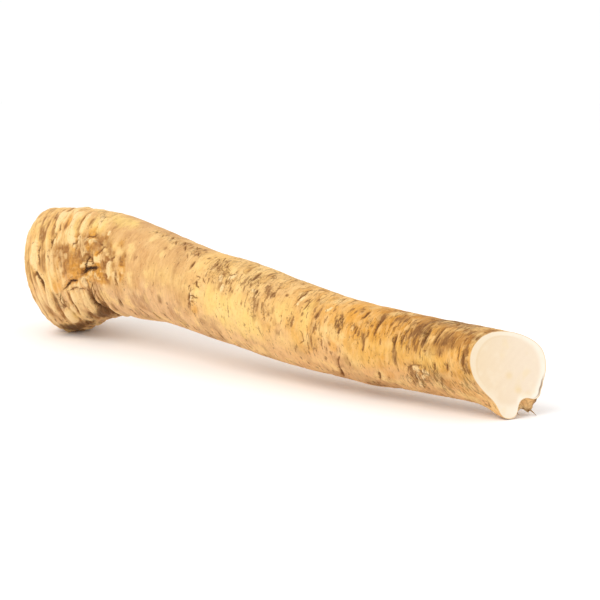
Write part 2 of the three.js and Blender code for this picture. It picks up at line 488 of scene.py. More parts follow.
# %% Scatter wrinkles
def wrinkles(pitch, around, seed, share, length, width):
    """Relief of scattered grooves, and the strongest one's distance across and strength.

    Along its length q a groove fades as (1 - q^2)^2."""
    u, v = ALONG / pitch, TURN / (2 * np.pi) * around
    relief = np.zeros_like(u)
    best = (np.full_like(u, 9.0), np.zeros_like(u))
    for a in (-1, 0, 1):
        for b in (-1, 0, 1):
            i, j = np.floor(u) + a, np.floor(v) + b
            lot = [scramble(seed + k, i, j % around) for k in range(6)]
            x = (u - i - 0.1 - 0.8 * lot[0]) * pitch
            y = (v - j - 0.1 - 0.8 * lot[1]) * 2 * np.pi / around * GIRTH
            half_length = length * (0.45 + 0.9 * lot[2] ** 2)
            x = x + (lot[3] - 0.45) * 0.35 * y + (lot[4] - 0.3) * 0.05 * y * y
            fade = (1 - np.clip(np.abs(y) / half_length, 0, 1) ** 2) ** 2
            fade = fade * (0.35 + 0.65 * lot[5]) * (share > (lot[5] * 7.3 + lot[0] * 3.1) % 1)
            across = x / (width * (0.6 + 0.8 * lot[1]))
            relief += fade * trough(across)
            best = stronger(best, (across, fade * (np.abs(across) < 4)))
    return relief, best


flank = ease((towards(322) + 0.15) / 0.8)  # 1 on the upper near side
far_flank = ease((towards(80) - 0.1) / 0.7)
wrinkly = np.maximum(np.maximum(flank, 0.9 * far_flank), ease((ALONG - 70) / 30))
CALM = [  # smooth yellow places: along, turn, half-length along, half-length round
    (10, 276, 18, 11), (22, 262, 16, 10), (49, 300, 6, 8),
    (60, 296, 3, 6), (97, 273, 18, 10), (120, 268, 10, 6),
]
busy = np.clip(0.45 + 1.2 * rough(22, 5, 73, 3), 0, 1) * (0.3 + 0.5 * wrinkly)
for k, oval in enumerate(CALM):
    busy = busy * (1 - 0.85 * patch(*oval, soft=0.6, seed=700 + k))
busy = busy * body + 0.12 * neck
small_relief, small_lines = wrinkles(2.6, 18, 11, 0.8 * busy, 2.2, 0.5)
large_relief, large_lines = wrinkles(4.6, 10, 31, 0.6 * busy, 4.2, 0.75)
print("wrinkled share of the bark:", (small_lines[1] > 0.3).mean().round(3))

# %% [markdown]
# ## Cracks, flakes and scabs
#
# The accidents of one root's life are placed one by one, by along and turn in millimetres and degrees:
# the deep cracks of the rough patch, the crease under the crown, the long wrinkles of the thin end,
# pale flakes of torn bark, scabs where a rootlet died, stains and tints of the skin, painted shade
# under the crown and in its crease, and a painted highlight on top of the neck.

# %% List the cracks
CRACKS = [  # half-width and depth in mm, then along and turn of each address
    # the crown and the rough patch, the deepest tear first
    (1.15, 2.8, -94.5, 267, -91.5, 270.5, -88.5, 273, -83, 274, -75.5, 276.5),
    (0.55, 1.4, -91, 271, -88.5, 278, -86, 285.5, -83.5, 288), (0.5, 1, -84, 287.5, -81, 283, -79.5, 277),
    (0.65, 1.6, -97.5, 262.5, -101, 262.5, -104, 264, -107, 261, -112, 258), (0.5, 1, -107, 256, -99, 255),
    (0.4, 0.8, -100, 253, -96, 252, -92.5, 251), (0.4, 1, -88, 308, -86, 312, -82.5, 312, -80.3, 316),
    (0.4, 0.8, -99.5, 299, -97, 303, -93.5, 308), (0.35, 0.8, -71.5, 303, -74.5, 296, -78.5, 290),
    (0.35, 0.6, -77.5, 306, -73.5, 304), (0.35, 0.7, -71.8, 287, -70.5, 274),
    (0.3, 0.6, -65.5, 289, -62, 294), (0.45, 1, -61.8, 268, -61, 262, -59.5, 255),
    (0.35, 1, -120.8, 309, -122.3, 300, -121.6, 286),
    (0.75, 1.3, -127.4, 279, -125.2, 282.5, -123.8, 277, -122.6, 271, -122.2, 260),
    (0.35, 0.8, -112, 331, -113.2, 322), (0.45, 1, -109.8, 317, -113.5, 309, -114, 298),
    (0.3, 0.6, -108.3, 329, -109, 317), (0.4, 1, -112.5, 258, -115.2, 249, -113.5, 240),
    (1.1, 2.2, -90.5, 241, -92, 233, -92, 225, -89.5, 219, -86.5, 211, -83, 196),
    (0.6, 1.2, -91.5, 223, -88.5, 221.5, -86, 215), (0.5, 0.9, -85.5, 238, -83, 228, -84.5, 219),
    (0.4, 0.7, -84.5, 257, -87.5, 251, -90, 243), (0.35, 0.6, -83.5, 248, -86.5, 244, -88.5, 237),
    (0.6, 0.7, -63.6, 238, -63.4, 228),
    # the body, from a torn scab towards the cut
    (0.3, 0.6, -6.4, 287, -7.2, 279, -7.9, 271, -7.2, 265, -8.4, 257),
    (0.3, 0.6, -5.6, 304, -3.4, 305, -1.8, 303), (0.35, 0.7, -4, 298, -3.6, 293, -0.2, 290),
    (0.35, 0.7, -7.6, 276, -5.2, 279, -3.4, 277, -0.8, 278.5), (0.3, 0.5, -7.4, 271, -3.8, 270),
    (0.3, 0.5, -0.8, 306, 0.4, 302, 2.6, 299), (0.35, 0.6, -11.2, 325, -10.9, 313),
    (0.35, 0.7, 1, 349, 4.3, 334), (0.3, 0.5, 1.4, 333, 3.2, 325),
    (0.28, 0.5, 5.4, 331, 7.4, 324, 10.2, 321), (0.28, 0.5, 7.6, 336, 9.6, 328),
    (0.28, 0.5, 10.6, 325, 13.4, 318), (0.28, 0.5, -0.6, 341, 1.6, 336), (0.35, 0.7, 17, 325, 13.3, 319),
    (0.4, 0.7, 13.4, 313, 14.2, 306), (0.35, 0.7, 28, 333, 25, 321), (0.45, 0.8, 31.6, 313, 30.6, 308),
    (0.3, 0.7, 54.5, 346, 51.8, 332), (0.3, 0.6, 58, 328, 56, 316), (0.4, 0.8, 65.2, 308, 64.4, 300),
    # the thin end, from a long lenticel on
    (0.38, 0.6, 75.4, 320, 77, 312, 75.8, 305, 77, 298, 77.8, 285),
    (0.32, 0.5, 78.4, 313, 77.6, 307, 78.4, 300, 78.8, 293), (0.3, 0.5, 74.4, 309, 75.2, 299, 76.2, 291),
    (0.32, 0.6, 78.3, 261, 76.2, 250, 75.4, 240, 74.8, 230),
    (0.7, 1.2, 75.2, 240, 74.2, 226, 73.2, 215, 71.4, 201),
    (0.3, 0.5, 57.5, 261, 60, 266, 59.4, 275, 58, 282), (0.45, 0.8, 85.8, 304, 85.2, 293),
    (0.45, 0.8, 86.4, 333, 86.2, 316), (0.5, 0.9, 94.8, 326, 93.8, 312, 94, 293),
    (0.45, 0.9, 94.6, 243, 93.8, 232, 92.6, 220), (0.45, 0.8, 104, 306, 103.6, 296, 103.4, 286),
    (0.4, 0.8, 107.8, 318, 107, 303, 106.8, 292), (0.55, 0.9, 118.4, 325, 118.9, 310, 118.2, 291),
    (0.25, 0.4, 117.6, 292, 117.2, 272), (0.45, 0.7, 124.4, 325, 124.6, 309, 124.2, 294),
    (0.4, 0.7, 132.6, 273, 131.2, 260), (0.4, 0.6, 125.8, 273, 124, 258), (0.35, 0.6, 124.8, 239, 124, 230),
    # beside the cut's rim
    (0.35, 0.6, 139.9, 290, 140.8, 281, 140.2, 270, 141.2, 258),
    (0.3, 0.5, 137.6, 300, 138.4, 286, 138.2, 272),
    # round a torn scab near the cut, and three more wrinkles of the body
    (0.3, 0.4, 108.8, 247, 110.2, 259, 113.4, 266, 119.5, 267),
    (0.35, 0.7, 111.4, 221, 111.8, 234, 113.2, 249, 114.2, 257),
    (0.3, 0.6, 116.2, 259, 118, 254, 120.5, 251), (0.4, 0.7, 26.8, 339, 25.8, 330, 26.6, 321),
    (0.4, 0.7, 53.8, 336, 53, 325, 52.6, 314), (0.35, 0.6, 57.6, 324, 58.4, 315, 57.6, 305),
    # the crusty top of the neck
    (0.35, 0.7, -48.5, 352, -46.8, 345), (0.3, 0.6, -43, 350, -40.8, 341),
    (0.35, 0.8, -37, 352, -34.6, 344), (0.3, 0.7, -32, 346, -29.6, 338), (0.35, 0.8, -28.5, 353, -26, 344),
    (0.35, 0.8, -24.6, 344, -21.6, 334), (0.3, 0.7, -20, 354, -16.6, 345), (0.3, 0.6, -14.6, 341, -12, 332),
    (0.28, 0.5, -18.6, 331, -16.4, 324),
    # along the underside of the neck and the body
    (0.6, 0.6, -59, 224, -57.5, 214, -58, 203), (0.5, 0.5, -50, 229, -47.5, 218, -46.5, 208),
    (0.6, 0.6, -41, 225, -39, 213, -39.5, 204), (0.5, 0.5, -32.5, 233, -30, 221, -29, 210),
    (0.6, 0.6, -21.5, 228, -19.5, 217, -20, 205), (0.5, 0.5, -13, 225, -11, 213),
    (0.5, 0.5, -4.5, 232, -2.5, 219, -2, 209), (0.55, 0.6, 13.5, 224, 15, 212, 14.5, 203),
    (0.5, 0.5, 23, 230, 25, 217),
]
print(len(CRACKS), "cracks listed")

# %% List the flakes, scabs, stains and tints
FLAKES = [  # torn strips of paler bark: half-width, height, then along and turn of each address
    (1.6, 0.7, -65.6, 288, -66.4, 277, -67, 264), (2.3, 0.6, -91.6, 267, -91.8, 252),
    (1.3, 0.6, -73.2, 320, -70.6, 320.5), (1.5, 0.3, -98.6, 312, -98.4, 301),
    (1.2, 0.3, -100.4, 348, -100.6, 330, -100.2, 318), (1.4, 0.3, -110, 350, -110.2, 335),
    (1, 0.3, -127.4, 290, -125.6, 303), (2, 0.4, -105.5, 254, -105, 239),
    (1.7, 0.4, -110, 241, -109.6, 229), (2.5, 0.5, -115, 240, -113.8, 212),
    (0.6, 0.4, 67.4, 313, 69.2, 315, 70, 322), (0.6, 0.3, 54.2, 314, 53.6, 309),
    (1.1, 0.3, 8.6, 316, 11.4, 307), (1, 0.3, 12, 304, 13.6, 297), (1.2, 0.3, 14, 314, 17.6, 325),
    (1.1, 0.5, 112.4, 264, 115.6, 262, 116.4, 256), (1.3, 0.5, 118.2, 263, 119.2, 256, 121.2, 251),
    (1, 0.4, 114.6, 256, 113.8, 246, 114.6, 239), (0.9, 0.4, 116.8, 252, 117.4, 243),
    (1.3, 0.4, 112.8, 233, 113.8, 222), (1, 0.3, 12.4, 305, 12.8, 296), (0.9, 0.3, 30, 314, 30.2, 308),
    (0.6, 0.3, 54.8, 325, 54.4, 316), (1.6, 0.2, 138.4, 160, 139.2, 146),
    (0.5, 0.3, -6.2, 283, -6, 276, -6.4, 269), (0.6, 0.4, -113.4, 252, -114, 247),
    (0.5, 0.3, -116.4, 246, -115.6, 241),
]
SCABS = [  # along, turn, half-length along, half-length round, how rough
    (-114.5, 249, 3.2, 5, 0.6), (-6, 276, 3, 8, 0.45), (5, 323, 6, 7, 0.8), (9, 317, 3, 4, 0.8),
    (14.5, 309, 3.5, 5.5, 0.7), (27, 322, 5, 5, 0.6), (38, 318, 3.6, 4, 0.8), (32.5, 290, 2, 5, 0.7),
    (40.6, 290, 3.6, 4, 0.5), (53, 288, 1.8, 3.5, 0.7), (65, 303, 2.4, 5, 0.35), (76.8, 300, 2.4, 5.5, 0.3),
    (66.5, 267, 3.2, 4, 0.25), (86, 299, 3, 4.5, 0.45), (115, 253, 5.2, 5, 0.7), (113, 230, 2.6, 4, 0.6),
    (141, 277, 1.8, 6, 0.8), (-45, 350, 6, 3, 0.5), (-34, 348, 5, 3.2, 0.8), (-25, 347, 5, 3.5, 0.9),
    (-15.5, 344, 5, 4.5, 0.9),
]
STAINS_AND_SHADES = [  # soft brown stains, and painted shade under the crown, in the crease below it and at the side root's foot: along, turn, half-length along, half-length round, strength
    # painted shade: the first four rows, and (-84.5, 228), (-91.5, 246), (-91, 222.5) and (-85.5, 213)
    (-118, 203, 10, 6.5, 1.25), (-108, 200, 6, 4, 1), (-91, 232, 3, 8.5, 1.15), (-89, 209, 8, 8, 1.35),
    (-84.5, 228, 2.5, 5, 0.8), (-91.5, 246, 1.6, 6, 0.8), (-102, 212, 2.6, 6, 0.8),
    (-118, 249, 1.4, 5.5, 1), (-114.5, 243.5, 3.4, 1.6, 0.8), (-115.5, 257, 3, 1.3, 0.7),
    (-114, 250, 2.6, 3, 0.5), (-124, 225, 6, 6, 0.4), (-124.9, 281.5, 1.2, 1.2, 1),
    (-122.8, 270, 0.9, 2.8, 1.1), (-113, 307, 0.9, 2, 1.1), (-112, 325, 0.8, 1.2, 0.8),
    (-108.6, 321, 0.9, 0.9, 0.9), (-124.6, 313, 1, 0.7, 0.9), (-115, 343, 1, 2, 0.6),
    (-123.3, 340, 1.5, 1.6, 0.6), (-91, 222.5, 2.4, 1.6, 1.35), (-85.5, 213, 3.2, 2.2, 1.4),
    (-101, 289, 3.4, 2.2, 0.3), (-89.5, 297, 9, 4.5, 0.35), (-112.5, 312, 1.4, 5, 0.5),
    (-63.5, 232, 1.9, 2.8, 0.9), (-60.4, 267, 1.3, 4, 0.8), (-57.2, 293, 2.2, 2, 0.7),
    (-48.2, 300, 1.3, 2, 0.6), (-57, 272, 1, 1.6, 0.8), (-53.6, 264, 1.4, 1.4, 0.5),
    (-52, 219, 2.4, 3, 0.7), (-50, 207, 6, 3, 0.6), (-38, 213, 4, 3, 0.5), (-41, 244, 2.6, 2.6, 0.45),
    (-47, 251, 1.4, 2, 0.35), (-29.5, 253.5, 1.4, 2.6, 0.85), (-24.6, 241, 1.3, 3, 0.45),
    (-16.8, 223, 1.6, 3, 0.6), (6.6, 222, 0.8, 4, 0.9), (-1, 210, 5, 3, 0.6), (-21.2, 343, 0.8, 1.8, 0.75),
    (-17.5, 350, 0.8, 1.4, 0.7), (-11, 316, 0.8, 2.4, 0.9), (-41.4, 351, 1, 1.6, 0.6),
    (-33, 327, 1, 1, 0.7), (-26.4, 350, 0.9, 1.4, 0.65), (-5.2, 336, 1.4, 1, 0.8), (-3.4, 342, 1, 0.9, 0.7),
    (-6.4, 285, 0.6, 1.4, 0.9), (-7.6, 290, 0.5, 0.7, 0.8), (-2.6, 301, 0.5, 0.6, 0.8),
    (-4.4, 288, 0.5, 0.6, 0.7), (-7.3, 275.5, 1, 1.6, 1), (-4.8, 277.5, 0.7, 0.8, 0.8),
    (-7.7, 262, 1, 2.2, 0.7), (-3.6, 296, 0.9, 1.3, 0.8), (-0.4, 308, 0.8, 1, 0.6),
    (2.2, 328, 0.7, 1.8, 0.55), (6, 323, 1.2, 1.2, 0.35), (8.6, 331, 1.4, 1.8, 0.4), (13, 319, 1.2, 1, 0.5),
    (15.8, 327, 0.7, 1.8, 0.6), (16.6, 309, 0.7, 1.2, 0.8), (11, 302, 1.2, 2.2, 0.6),
    (17.8, 298, 0.9, 2.4, 0.6), (26.4, 330, 0.8, 3, 0.7), (27.4, 316, 0.9, 1.2, 0.7),
    (30.4, 343, 0.7, 1.6, 0.8), (31.5, 310, 0.8, 1.2, 1.1), (37, 319, 1, 1.6, 0.6),
    (40.4, 313, 1, 1.2, 0.9), (46.8, 319, 1.1, 0.9, 0.9), (53.5, 331, 0.7, 2, 0.9),
    (58, 317, 0.7, 1.8, 0.5), (58.3, 301, 0.8, 1.3, 0.7), (25.8, 298, 0.8, 3.5, 0.35),
    (34, 295, 1.2, 2.4, 0.6), (33.6, 278, 1.2, 1.6, 0.7), (37.8, 293, 0.8, 1.8, 0.7),
    (41.2, 289, 1, 1.6, 0.8), (43, 295, 0.8, 2, 0.7), (40.5, 291, 3.8, 4, 0.12), (45.9, 268, 1.5, 1.8, 0.7),
    (53.6, 288, 1.2, 2.4, 0.6), (51.5, 281, 1.4, 1.2, 0.5), (65.4, 303, 0.9, 1.8, 0.7),
    (64.2, 287, 1.8, 2.2, 0.4), (65, 266, 2.8, 2.8, 0.45), (58.6, 268, 1.4, 2.4, 0.35),
    (57.5, 247, 2.8, 3, 0.5), (71.6, 263, 0.8, 2.4, 0.5), (77.6, 266, 1.4, 1.6, 0.4),
    (81, 255, 1.3, 3.2, 0.55), (62, 214, 6, 3, 0.15), (-109, 291, 9, 12, 0.38), (34, 206, 5, 3, 0.5),
    (76.5, 300, 4, 6, 0.32), (76.2, 309, 0.6, 0.7, 1), (77.4, 304, 0.5, 0.6, 1.1),
    (76.4, 298.5, 0.5, 0.6, 1), (77.8, 295, 0.6, 0.6, 1.2), (77.4, 290.5, 0.7, 0.5, 1.1),
    (75.8, 313.5, 0.5, 0.6, 0.9), (81, 325, 0.9, 1.5, 0.7), (86.4, 325, 0.8, 2.4, 0.6),
    (93.6, 317, 1.4, 2.4, 0.5), (87, 297, 0.9, 1.9, 0.8), (91, 297, 1, 1.4, 0.6), (89.8, 283, 0.9, 5, 0.85),
    (89, 205, 4, 3.4, 0.8), (104, 276, 1.1, 3.8, 0.95), (103.8, 296, 0.6, 2.4, 0.6),
    (107.4, 298, 0.6, 2, 0.6), (113.6, 314, 4.2, 5.2, 0.8), (118.6, 306, 0.7, 3.8, 0.7),
    (124.4, 308, 0.9, 3.6, 0.7), (129.8, 302, 4.2, 4.6, 0.85), (128.8, 288, 2.6, 1.8, 0.85),
    (120, 287, 0.8, 0.4, 0.8), (93.6, 322, 1.6, 3.4, 0.6), (103, 329, 3.2, 1.8, 0.8),
    (118.4, 299, 1.2, 1.6, 0.9), (135.6, 318, 2.2, 3.6, 0.5), (83, 330, 2.6, 2, 0.6),
    (111, 245, 1.4, 4.5, 0.8), (125, 268, 0.7, 2, 0.4), (131.8, 267, 0.8, 1.6, 0.5),
    # (139, 201) is painted shadow at the foot of the broken side root
    (134, 256, 1.5, 1.6, 0.5), (141.5, 276, 1.6, 5, 0.55), (139, 201, 2, 0.8, 0.8),
    (138.6, 148, 1, 0.9, 1.2), (139.8, 128, 2, 4.2, 1.4),
]
TINTS = [  # coloured skin, and a painted highlight on top of the crown and neck: tint, along, turn, half-length along, half-length round, strength
    # painted highlight: the first three rows, on top of the crown and neck
    ("yellow_and_highlight", -84, 330, 7, 6, 0.7), ("yellow_and_highlight", -69, 350, 9, 5, 0.9), ("yellow_and_highlight", -98, 332, 5, 14, 0.5),
    ("yellow_and_highlight", 14, 275, 12, 8, 0.9), ("yellow_and_highlight", 28, 265, 10, 7, 0.7), ("yellow_and_highlight", 48, 300, 6, 6, 0.6),
    ("yellow_and_highlight", 60, 298, 3, 6, 0.8), ("yellow_and_highlight", 50, 255, 12, 5, 0.4), ("yellow_and_highlight", -25, 290, 14, 6, 0.4),
    ("yellow_and_highlight", -3, 284, 3, 5, 0.6), ("yellow_and_highlight", 100, 283, 16, 6, 0.5), ("yellow_and_highlight", 120, 275, 9, 4, 0.6),
    ("ochre", 99, 280, 18, 8, 0.5), ("ochre", 128, 262, 10, 6, 0.5), ("yellow_and_highlight", 88, 262, 10, 5, 0.5),
    ("ochre", -5, 262, 2.4, 2.6, 0.7), ("ochre", -113, 264, 7, 4, 0.7), ("ochre", -97, 270, 9, 7, 0.9),
    ("ochre", -84, 268, 7, 4, 1), ("ochre", -82, 282, 4, 3, 0.8), ("ochre", -76, 264, 8, 4, 0.8),
    ("ochre", 102, 314, 26, 7, 0.9), ("ochre", 118, 262, 20, 9, 0.35), ("ochre", 98.7, 270, 1.4, 1.4, 1),
    ("ochre", 93, 316, 9, 3.5, 1), ("ochre", -104.4, 333, 1.3, 5, 0.8), ("yellow_and_highlight", -105, 244, 2.2, 4, 0.9),
    ("yellow_and_highlight", -114, 227, 3.2, 6, 0.8), ("ochre", 75, 270, 1.8, 1.8, 0.8),
]
print(len(FLAKES), "flakes,", len(SCABS), "scabs,", len(STAINS_AND_SHADES), "stains,", len(TINTS), "tints listed")

# %% [markdown]
# The far side, the underside and the crown's end get marks of the same kinds. They are drawn by lot,
# because one stretch of bark there is as likely to be marked as another. Each pair of numbers is the
# lowest and the highest that a lot may give, except a stain's reach, whose docstring says how it is drawn.


# %% Draw lots for the hidden sides
def draw_stains(count, along, turns, reach, strength):
    """Adds stains. `reach` is (low, more), and a stain's own is low + more * lot^2, so most are small."""
    for _ in range(count):
        address = lots.uniform(*along), lots.uniform(*turns)
        half = reach[0] + reach[1] * lots.random() ** 2
        STAINS_AND_SHADES.append((*address, half, half * lots.uniform(1.2, 2.6), lots.uniform(*strength)))


def draw_cracks(count, along, turns, sweep, sway, half_width, depth):
    """Adds cracks of three points that are `sweep` degrees apart and sway by about `sway` mm."""
    for _ in range(count):
        middle, degrees = lots.uniform(*along), lots.uniform(*turns)
        step = lots.uniform(*sweep) if isinstance(sweep, tuple) else sweep
        a, b, c = middle + lots.normal(0, sway, 3)
        size = lots.uniform(*half_width), lots.uniform(*depth)
        CRACKS.append((*size, a, degrees - step, b, degrees, c, degrees + step))


def draw_scabs(count, *ranges):
    """Adds scabs, one lot for each number in a row of SCABS."""
    for _ in range(count):
        SCABS.append(tuple(lots.uniform(*ends) for ends in ranges))


lots = np.random.default_rng(23)
draw_stains(70, (-122, 136), (30, 192), (0.8, 2.4), (0.35, 0.85))
draw_cracks(44, (-118, 136), (38, 175), (5, 13), 0.8, (0.3, 0.5), (0.5, 1.1))
draw_scabs(12, (-40, 136), (40, 180), (1.8, 4.5), (3, 6), (0.4, 0.9))
for _ in range(8):
    along, degrees = lots.uniform(-110, 130), lots.uniform(40, 175)
    far_end = along + lots.normal(0, 1), degrees + lots.uniform(5, 12)
    FLAKES.append((lots.uniform(0.8, 1.5), 0.4, along, degrees, *far_end))
draw_stains(16, (-157, -137), (0, 360), (0.8, 1.6), (0.4, 0.9))  # the crown's end
draw_cracks(10, (-156, -137), (0, 360), 15, 0.9, (0.3, 0.5), (0.6, 1.2))
draw_cracks(22, (-136, -84), (25, 205), (7, 18), 1.1, (0.35, 0.65), (0.7, 1.5))  # the crown's far side
draw_stains(16, (-136, -88), (30, 200), (0.9, 2.2), (0.5, 1.0))
draw_scabs(9, (-134, -90), (35, 195), (2.5, 6), (4, 9), (0.5, 1.0))
print("now", len(STAINS_AND_SHADES), "stains,", len(CRACKS), "cracks,", len(SCABS), "scabs,", len(FLAKES), "flakes")

# %% [markdown]
# Every mark has a seed of its own, so that no two have the same ragged edge. A crack is as dark as it
# is deep. Stains and painted shades have sharper edges the smaller they are, and a small one is also a
# shallow pit.

# %% Lay the marks on the bark
crack_relief = np.zeros_like(ALONG)
cracks = (np.full_like(ALONG, 9.0), np.zeros_like(ALONG))
for k, (half_width, depth, *path) in enumerate(CRACKS):
    across, strength = line(path, half_width, seed=200 + k)
    crack_relief = np.minimum(crack_relief, -depth * strength * np.exp(-((across / 1.3) ** 2)))
    cracks = stronger(cracks, (across, strength * min(1.0, 0.3 + 0.38 * depth)))
flake_mask = np.zeros_like(ALONG)
flake_relief = np.zeros_like(ALONG)
for k, (half_width, height, *path) in enumerate(FLAKES):
    across, strength = line(path, half_width, seed=300 + k, wobble=0.5)
    strip = strength * (1 - ease((np.abs(across) - 0.5) / 1.0))
    flake_mask = np.maximum(flake_mask, strip)
    flake_relief = np.maximum(flake_relief, height * strip)
worn = np.zeros_like(ALONG)
for k, (*oval, roughness) in enumerate(SCABS):
    worn = np.maximum(worn, roughness * patch(*oval, seed=400 + k))
PIT_DEPTH, PIT_SIZE = 0.28, 2  # mm
stain_and_shade = np.zeros_like(ALONG)
pits = np.zeros_like(ALONG)
for k, (along, degrees, half_along, half_round, depth) in enumerate(STAINS_AND_SHADES):
    soft = min(0.35 + 0.12 * half_along, 0.75)
    oval = patch(along, degrees, half_along, half_round, soft=soft, ragged=0.5, seed=600 + k)
    stain_and_shade = np.maximum(stain_and_shade, depth * oval)
    pits = np.maximum(pits, PIT_DEPTH * depth * oval * (half_along < PIT_SIZE))
tints = {"yellow_and_highlight": np.zeros_like(ALONG), "ochre": np.zeros_like(ALONG)}
for k, (tint, *oval, depth) in enumerate(TINTS):
    tints[tint] = np.maximum(tints[tint], depth * patch(*oval, soft=0.8, ragged=0.6, seed=800 + k))
print("the deepest crack is", -crack_relief.min().round(2), "mm")
print("flakes cover", flake_mask.mean().round(3), "scabs", worn.mean().round(3))

# %% [markdown]
# ## The rough patch
#
# Between crown and neck the bark lies in thin plates that run along the root instead of round it. The
# plates are cells about scattered points, half as long again as they are wide, and the cracks
# between them are the places nearly as close to a second point as to the first.


# %% Break a patch into plates
def plates(pitch, around, seed, warp):
    """How near each point is to a joint between plates, from 0 to 1, and each plate's own level.

    Each cell holds one point. The joint is where the two nearest points are equally far."""
    u = (ALONG + warp * rough(9, 12, seed, 3)) / pitch
    v = TURN / (2 * np.pi) * around + 0.25 * warp * rough(9, 12, seed + 9, 3)
    nearest = np.full_like(u, 9.0)
    second = np.full_like(u, 9.0)
    level = np.zeros_like(u)
    for a in (-1, 0, 1):
        for b in (-1, 0, 1):
            i, j = np.floor(u) + a, np.floor(v) + b
            lot = [scramble(seed + k, i, j % around) for k in (1, 2, 3)]
            away = np.hypot(u - i - lot[0], v - j - lot[1])
            level = np.where(away < nearest, lot[2], level)
            second = np.where(away < nearest, nearest, np.minimum(second, away))
            nearest = np.minimum(nearest, away)
    return 1 - ease((second - nearest) / 0.2), level


# The patch crumbles in some places only, and hardly at all next to the crown.
crumbly = patch_rough * ease(0.4 + 1.7 * rough(12, 8, 67, 2))
crumbly = crumbly * (1 - 0.85 * patch(-105, 293, 11, 12, soft=0.6, seed=68))
joint, plate_level = plates(5.4, 48, 61, 5.0)
plate_relief = blur(plate_level, 1.0, 0, False) - 0.5 - 0.5 * joint * ease(0.4 + rough(8, 12, 64))
print("plates step by", plate_relief.std().round(2), "mm")

# %% [markdown]
# The very end of the crown is the scar the leaf stalks left: a rough brown disc with a few low rings.

# %% Scar the end of the crown
SCAR_REACH = 17  # mm of skin from the pole to the scar's edge
SCAR_RING = 0.95  # mm for a ring to turn by one radian
scar = 1 - ease((distance[:, None] - SCAR_REACH - 4 * rough(8, 7, 95, 3)) / 6)
scar_rings = np.sin((distance[:, None] + 3 * rough(7, 5, 99, 3)) / SCAR_RING)
scar_relief = scar * (0.5 * scar_rings + 1.5 * rough(3.2, 9, 96, 3) - 0.6)
print("scar covers", scar.mean().round(3), "of the net")

# %% [markdown]
# The relief is the sum of all these, in millimetres, each within its own region. `hollow` compares
# every point with the bell-weighted mean around it. It is above 0 in grooves and below 0 on crests,
# and later gives the one painted shade and the other a painted highlight.

# %% Add up the relief
lumps = 0.42 * rough(34, 3, 71, 3) + 0.16 * rough(6, 5, 75, 2)
grain = 0.07 * rough(1.6, 50, 74, 2)
scab_relief = worn * (0.25 + 0.4 * rough(1.8, 70, 76, 2))
detail = (
    crown * (fold_relief + 0.3 * rough(2.6, 48, 77, 3))
    + placed_folds
    + 0.3 * (body + 0.3 * neck) * small_relief
    + 0.45 * (body + 0.3 * neck) * large_relief
    + patch_rough * plate_relief
    + 0.5 * crumbly * rough(3.2, 44, 66, 3)
    + scar_relief
    + scab_relief
    + flake_relief
    - pits
    + crack_relief
    + grain
)
hollow = blur(blur(detail, 3, 0, False), 2, 1, True) - detail
print("relief from", detail.min().round(2), "to", detail.max().round(2), "mm")
print("hollows are up to", hollow.max().round(2), "mm deep")

# %% [markdown]
# ## The rim's own shape
#
# Close to the knife the section is less even than the solid: it bulges on the upper far side and
# pinches in beside the stump of a side root at the bottom, which leaves that stump like a foot.

# %% Reshape the last centimetre
RIM_SWELLS = [  # turn, height in mm, half-width in degrees, how far back from the cut in mm
    (70, 0.8, 18, 16),
    (160, -1.9, 9, 4),
    (205, -0.5, 8, 8),
    (300, 0.2, 20, 20),
]
to_cut = CUT_X - ALONG
swell = np.zeros_like(ALONG)
for degrees, height, half_width, back in RIM_SWELLS:
    off = (np.degrees(TURN) - degrees + 180) % 360 - 180
    round_share = np.exp(-0.5 * (off / half_width) ** 2)
    swell = swell + height * round_share * np.exp(-0.5 * (to_cut / back) ** 2)
STUMPS = [  # along, turn, height, half-length along, half-length round: one broken side root
    (138.0, 152, 1.1, 3.0, 2.6),
    (139.3, 148, 1.5, 1.5, 1.3),
    (138.4, 159, 1.9, 2.0, 1.7),
    (138.9, 142, 1.3, 1.7, 1.5),
    (139.4, 133, 1.5, 1.5, 1.5),
    (139.8, 124, 1.1, 1.3, 1.3),
    (140.2, 116, 0.6, 1.2, 1.2),
]
for along, degrees, height, half_along, half_round in STUMPS:
    reach = np.hypot((ALONG - along) / half_along, round_mm(degrees) / half_round)
    swell = swell + height * (1 - ease((reach - 0.5) / 0.9)) * (1 + 0.7 * rough(1.2, 90, 90, 2))
print("rim moves from", swell.min().round(2), "to", swell.max().round(2), "mm")

# %% [markdown]
# ## Push the net out
#
# The relief moves each point along the skin's normal. It dies away at the pole, where all the spokes
# meet. The finished root stays inside the solid's box: the last part of a millimetre below each wall of
# the box except the floor is squeezed, so a point there never reaches the wall but keeps its order, and
# at the floor the points are cut off flat.


# %% Shape the bark
def squeeze(values, limit, give=0.15):
    """Keeps values v under a limit, in order: limit - give * log(1 + exp((limit - v) / give))."""
    return limit - give * np.logaddexp(0, (limit - values) / give)


pole_fade = ease(distance / 10)[:, None]
shaped = bare_skin + skin_normals * ((lumps + detail) * pole_fade + swell)[..., None]
low, high = corners.min(0), corners.max(0)
for axis, (bottom, top) in enumerate(zip(low, high)):
    shaped[..., axis] = squeeze(shaped[..., axis], top)
    if axis < 2:
        shaped[..., axis] = -squeeze(-shaped[..., axis], -bottom)
shaped[..., 2] = shaped[..., 2].clip(0)
print("bark:", shaped.reshape(-1, 3).min(0).round(2), "to", shaped.reshape(-1, 3).max(0).round(2))

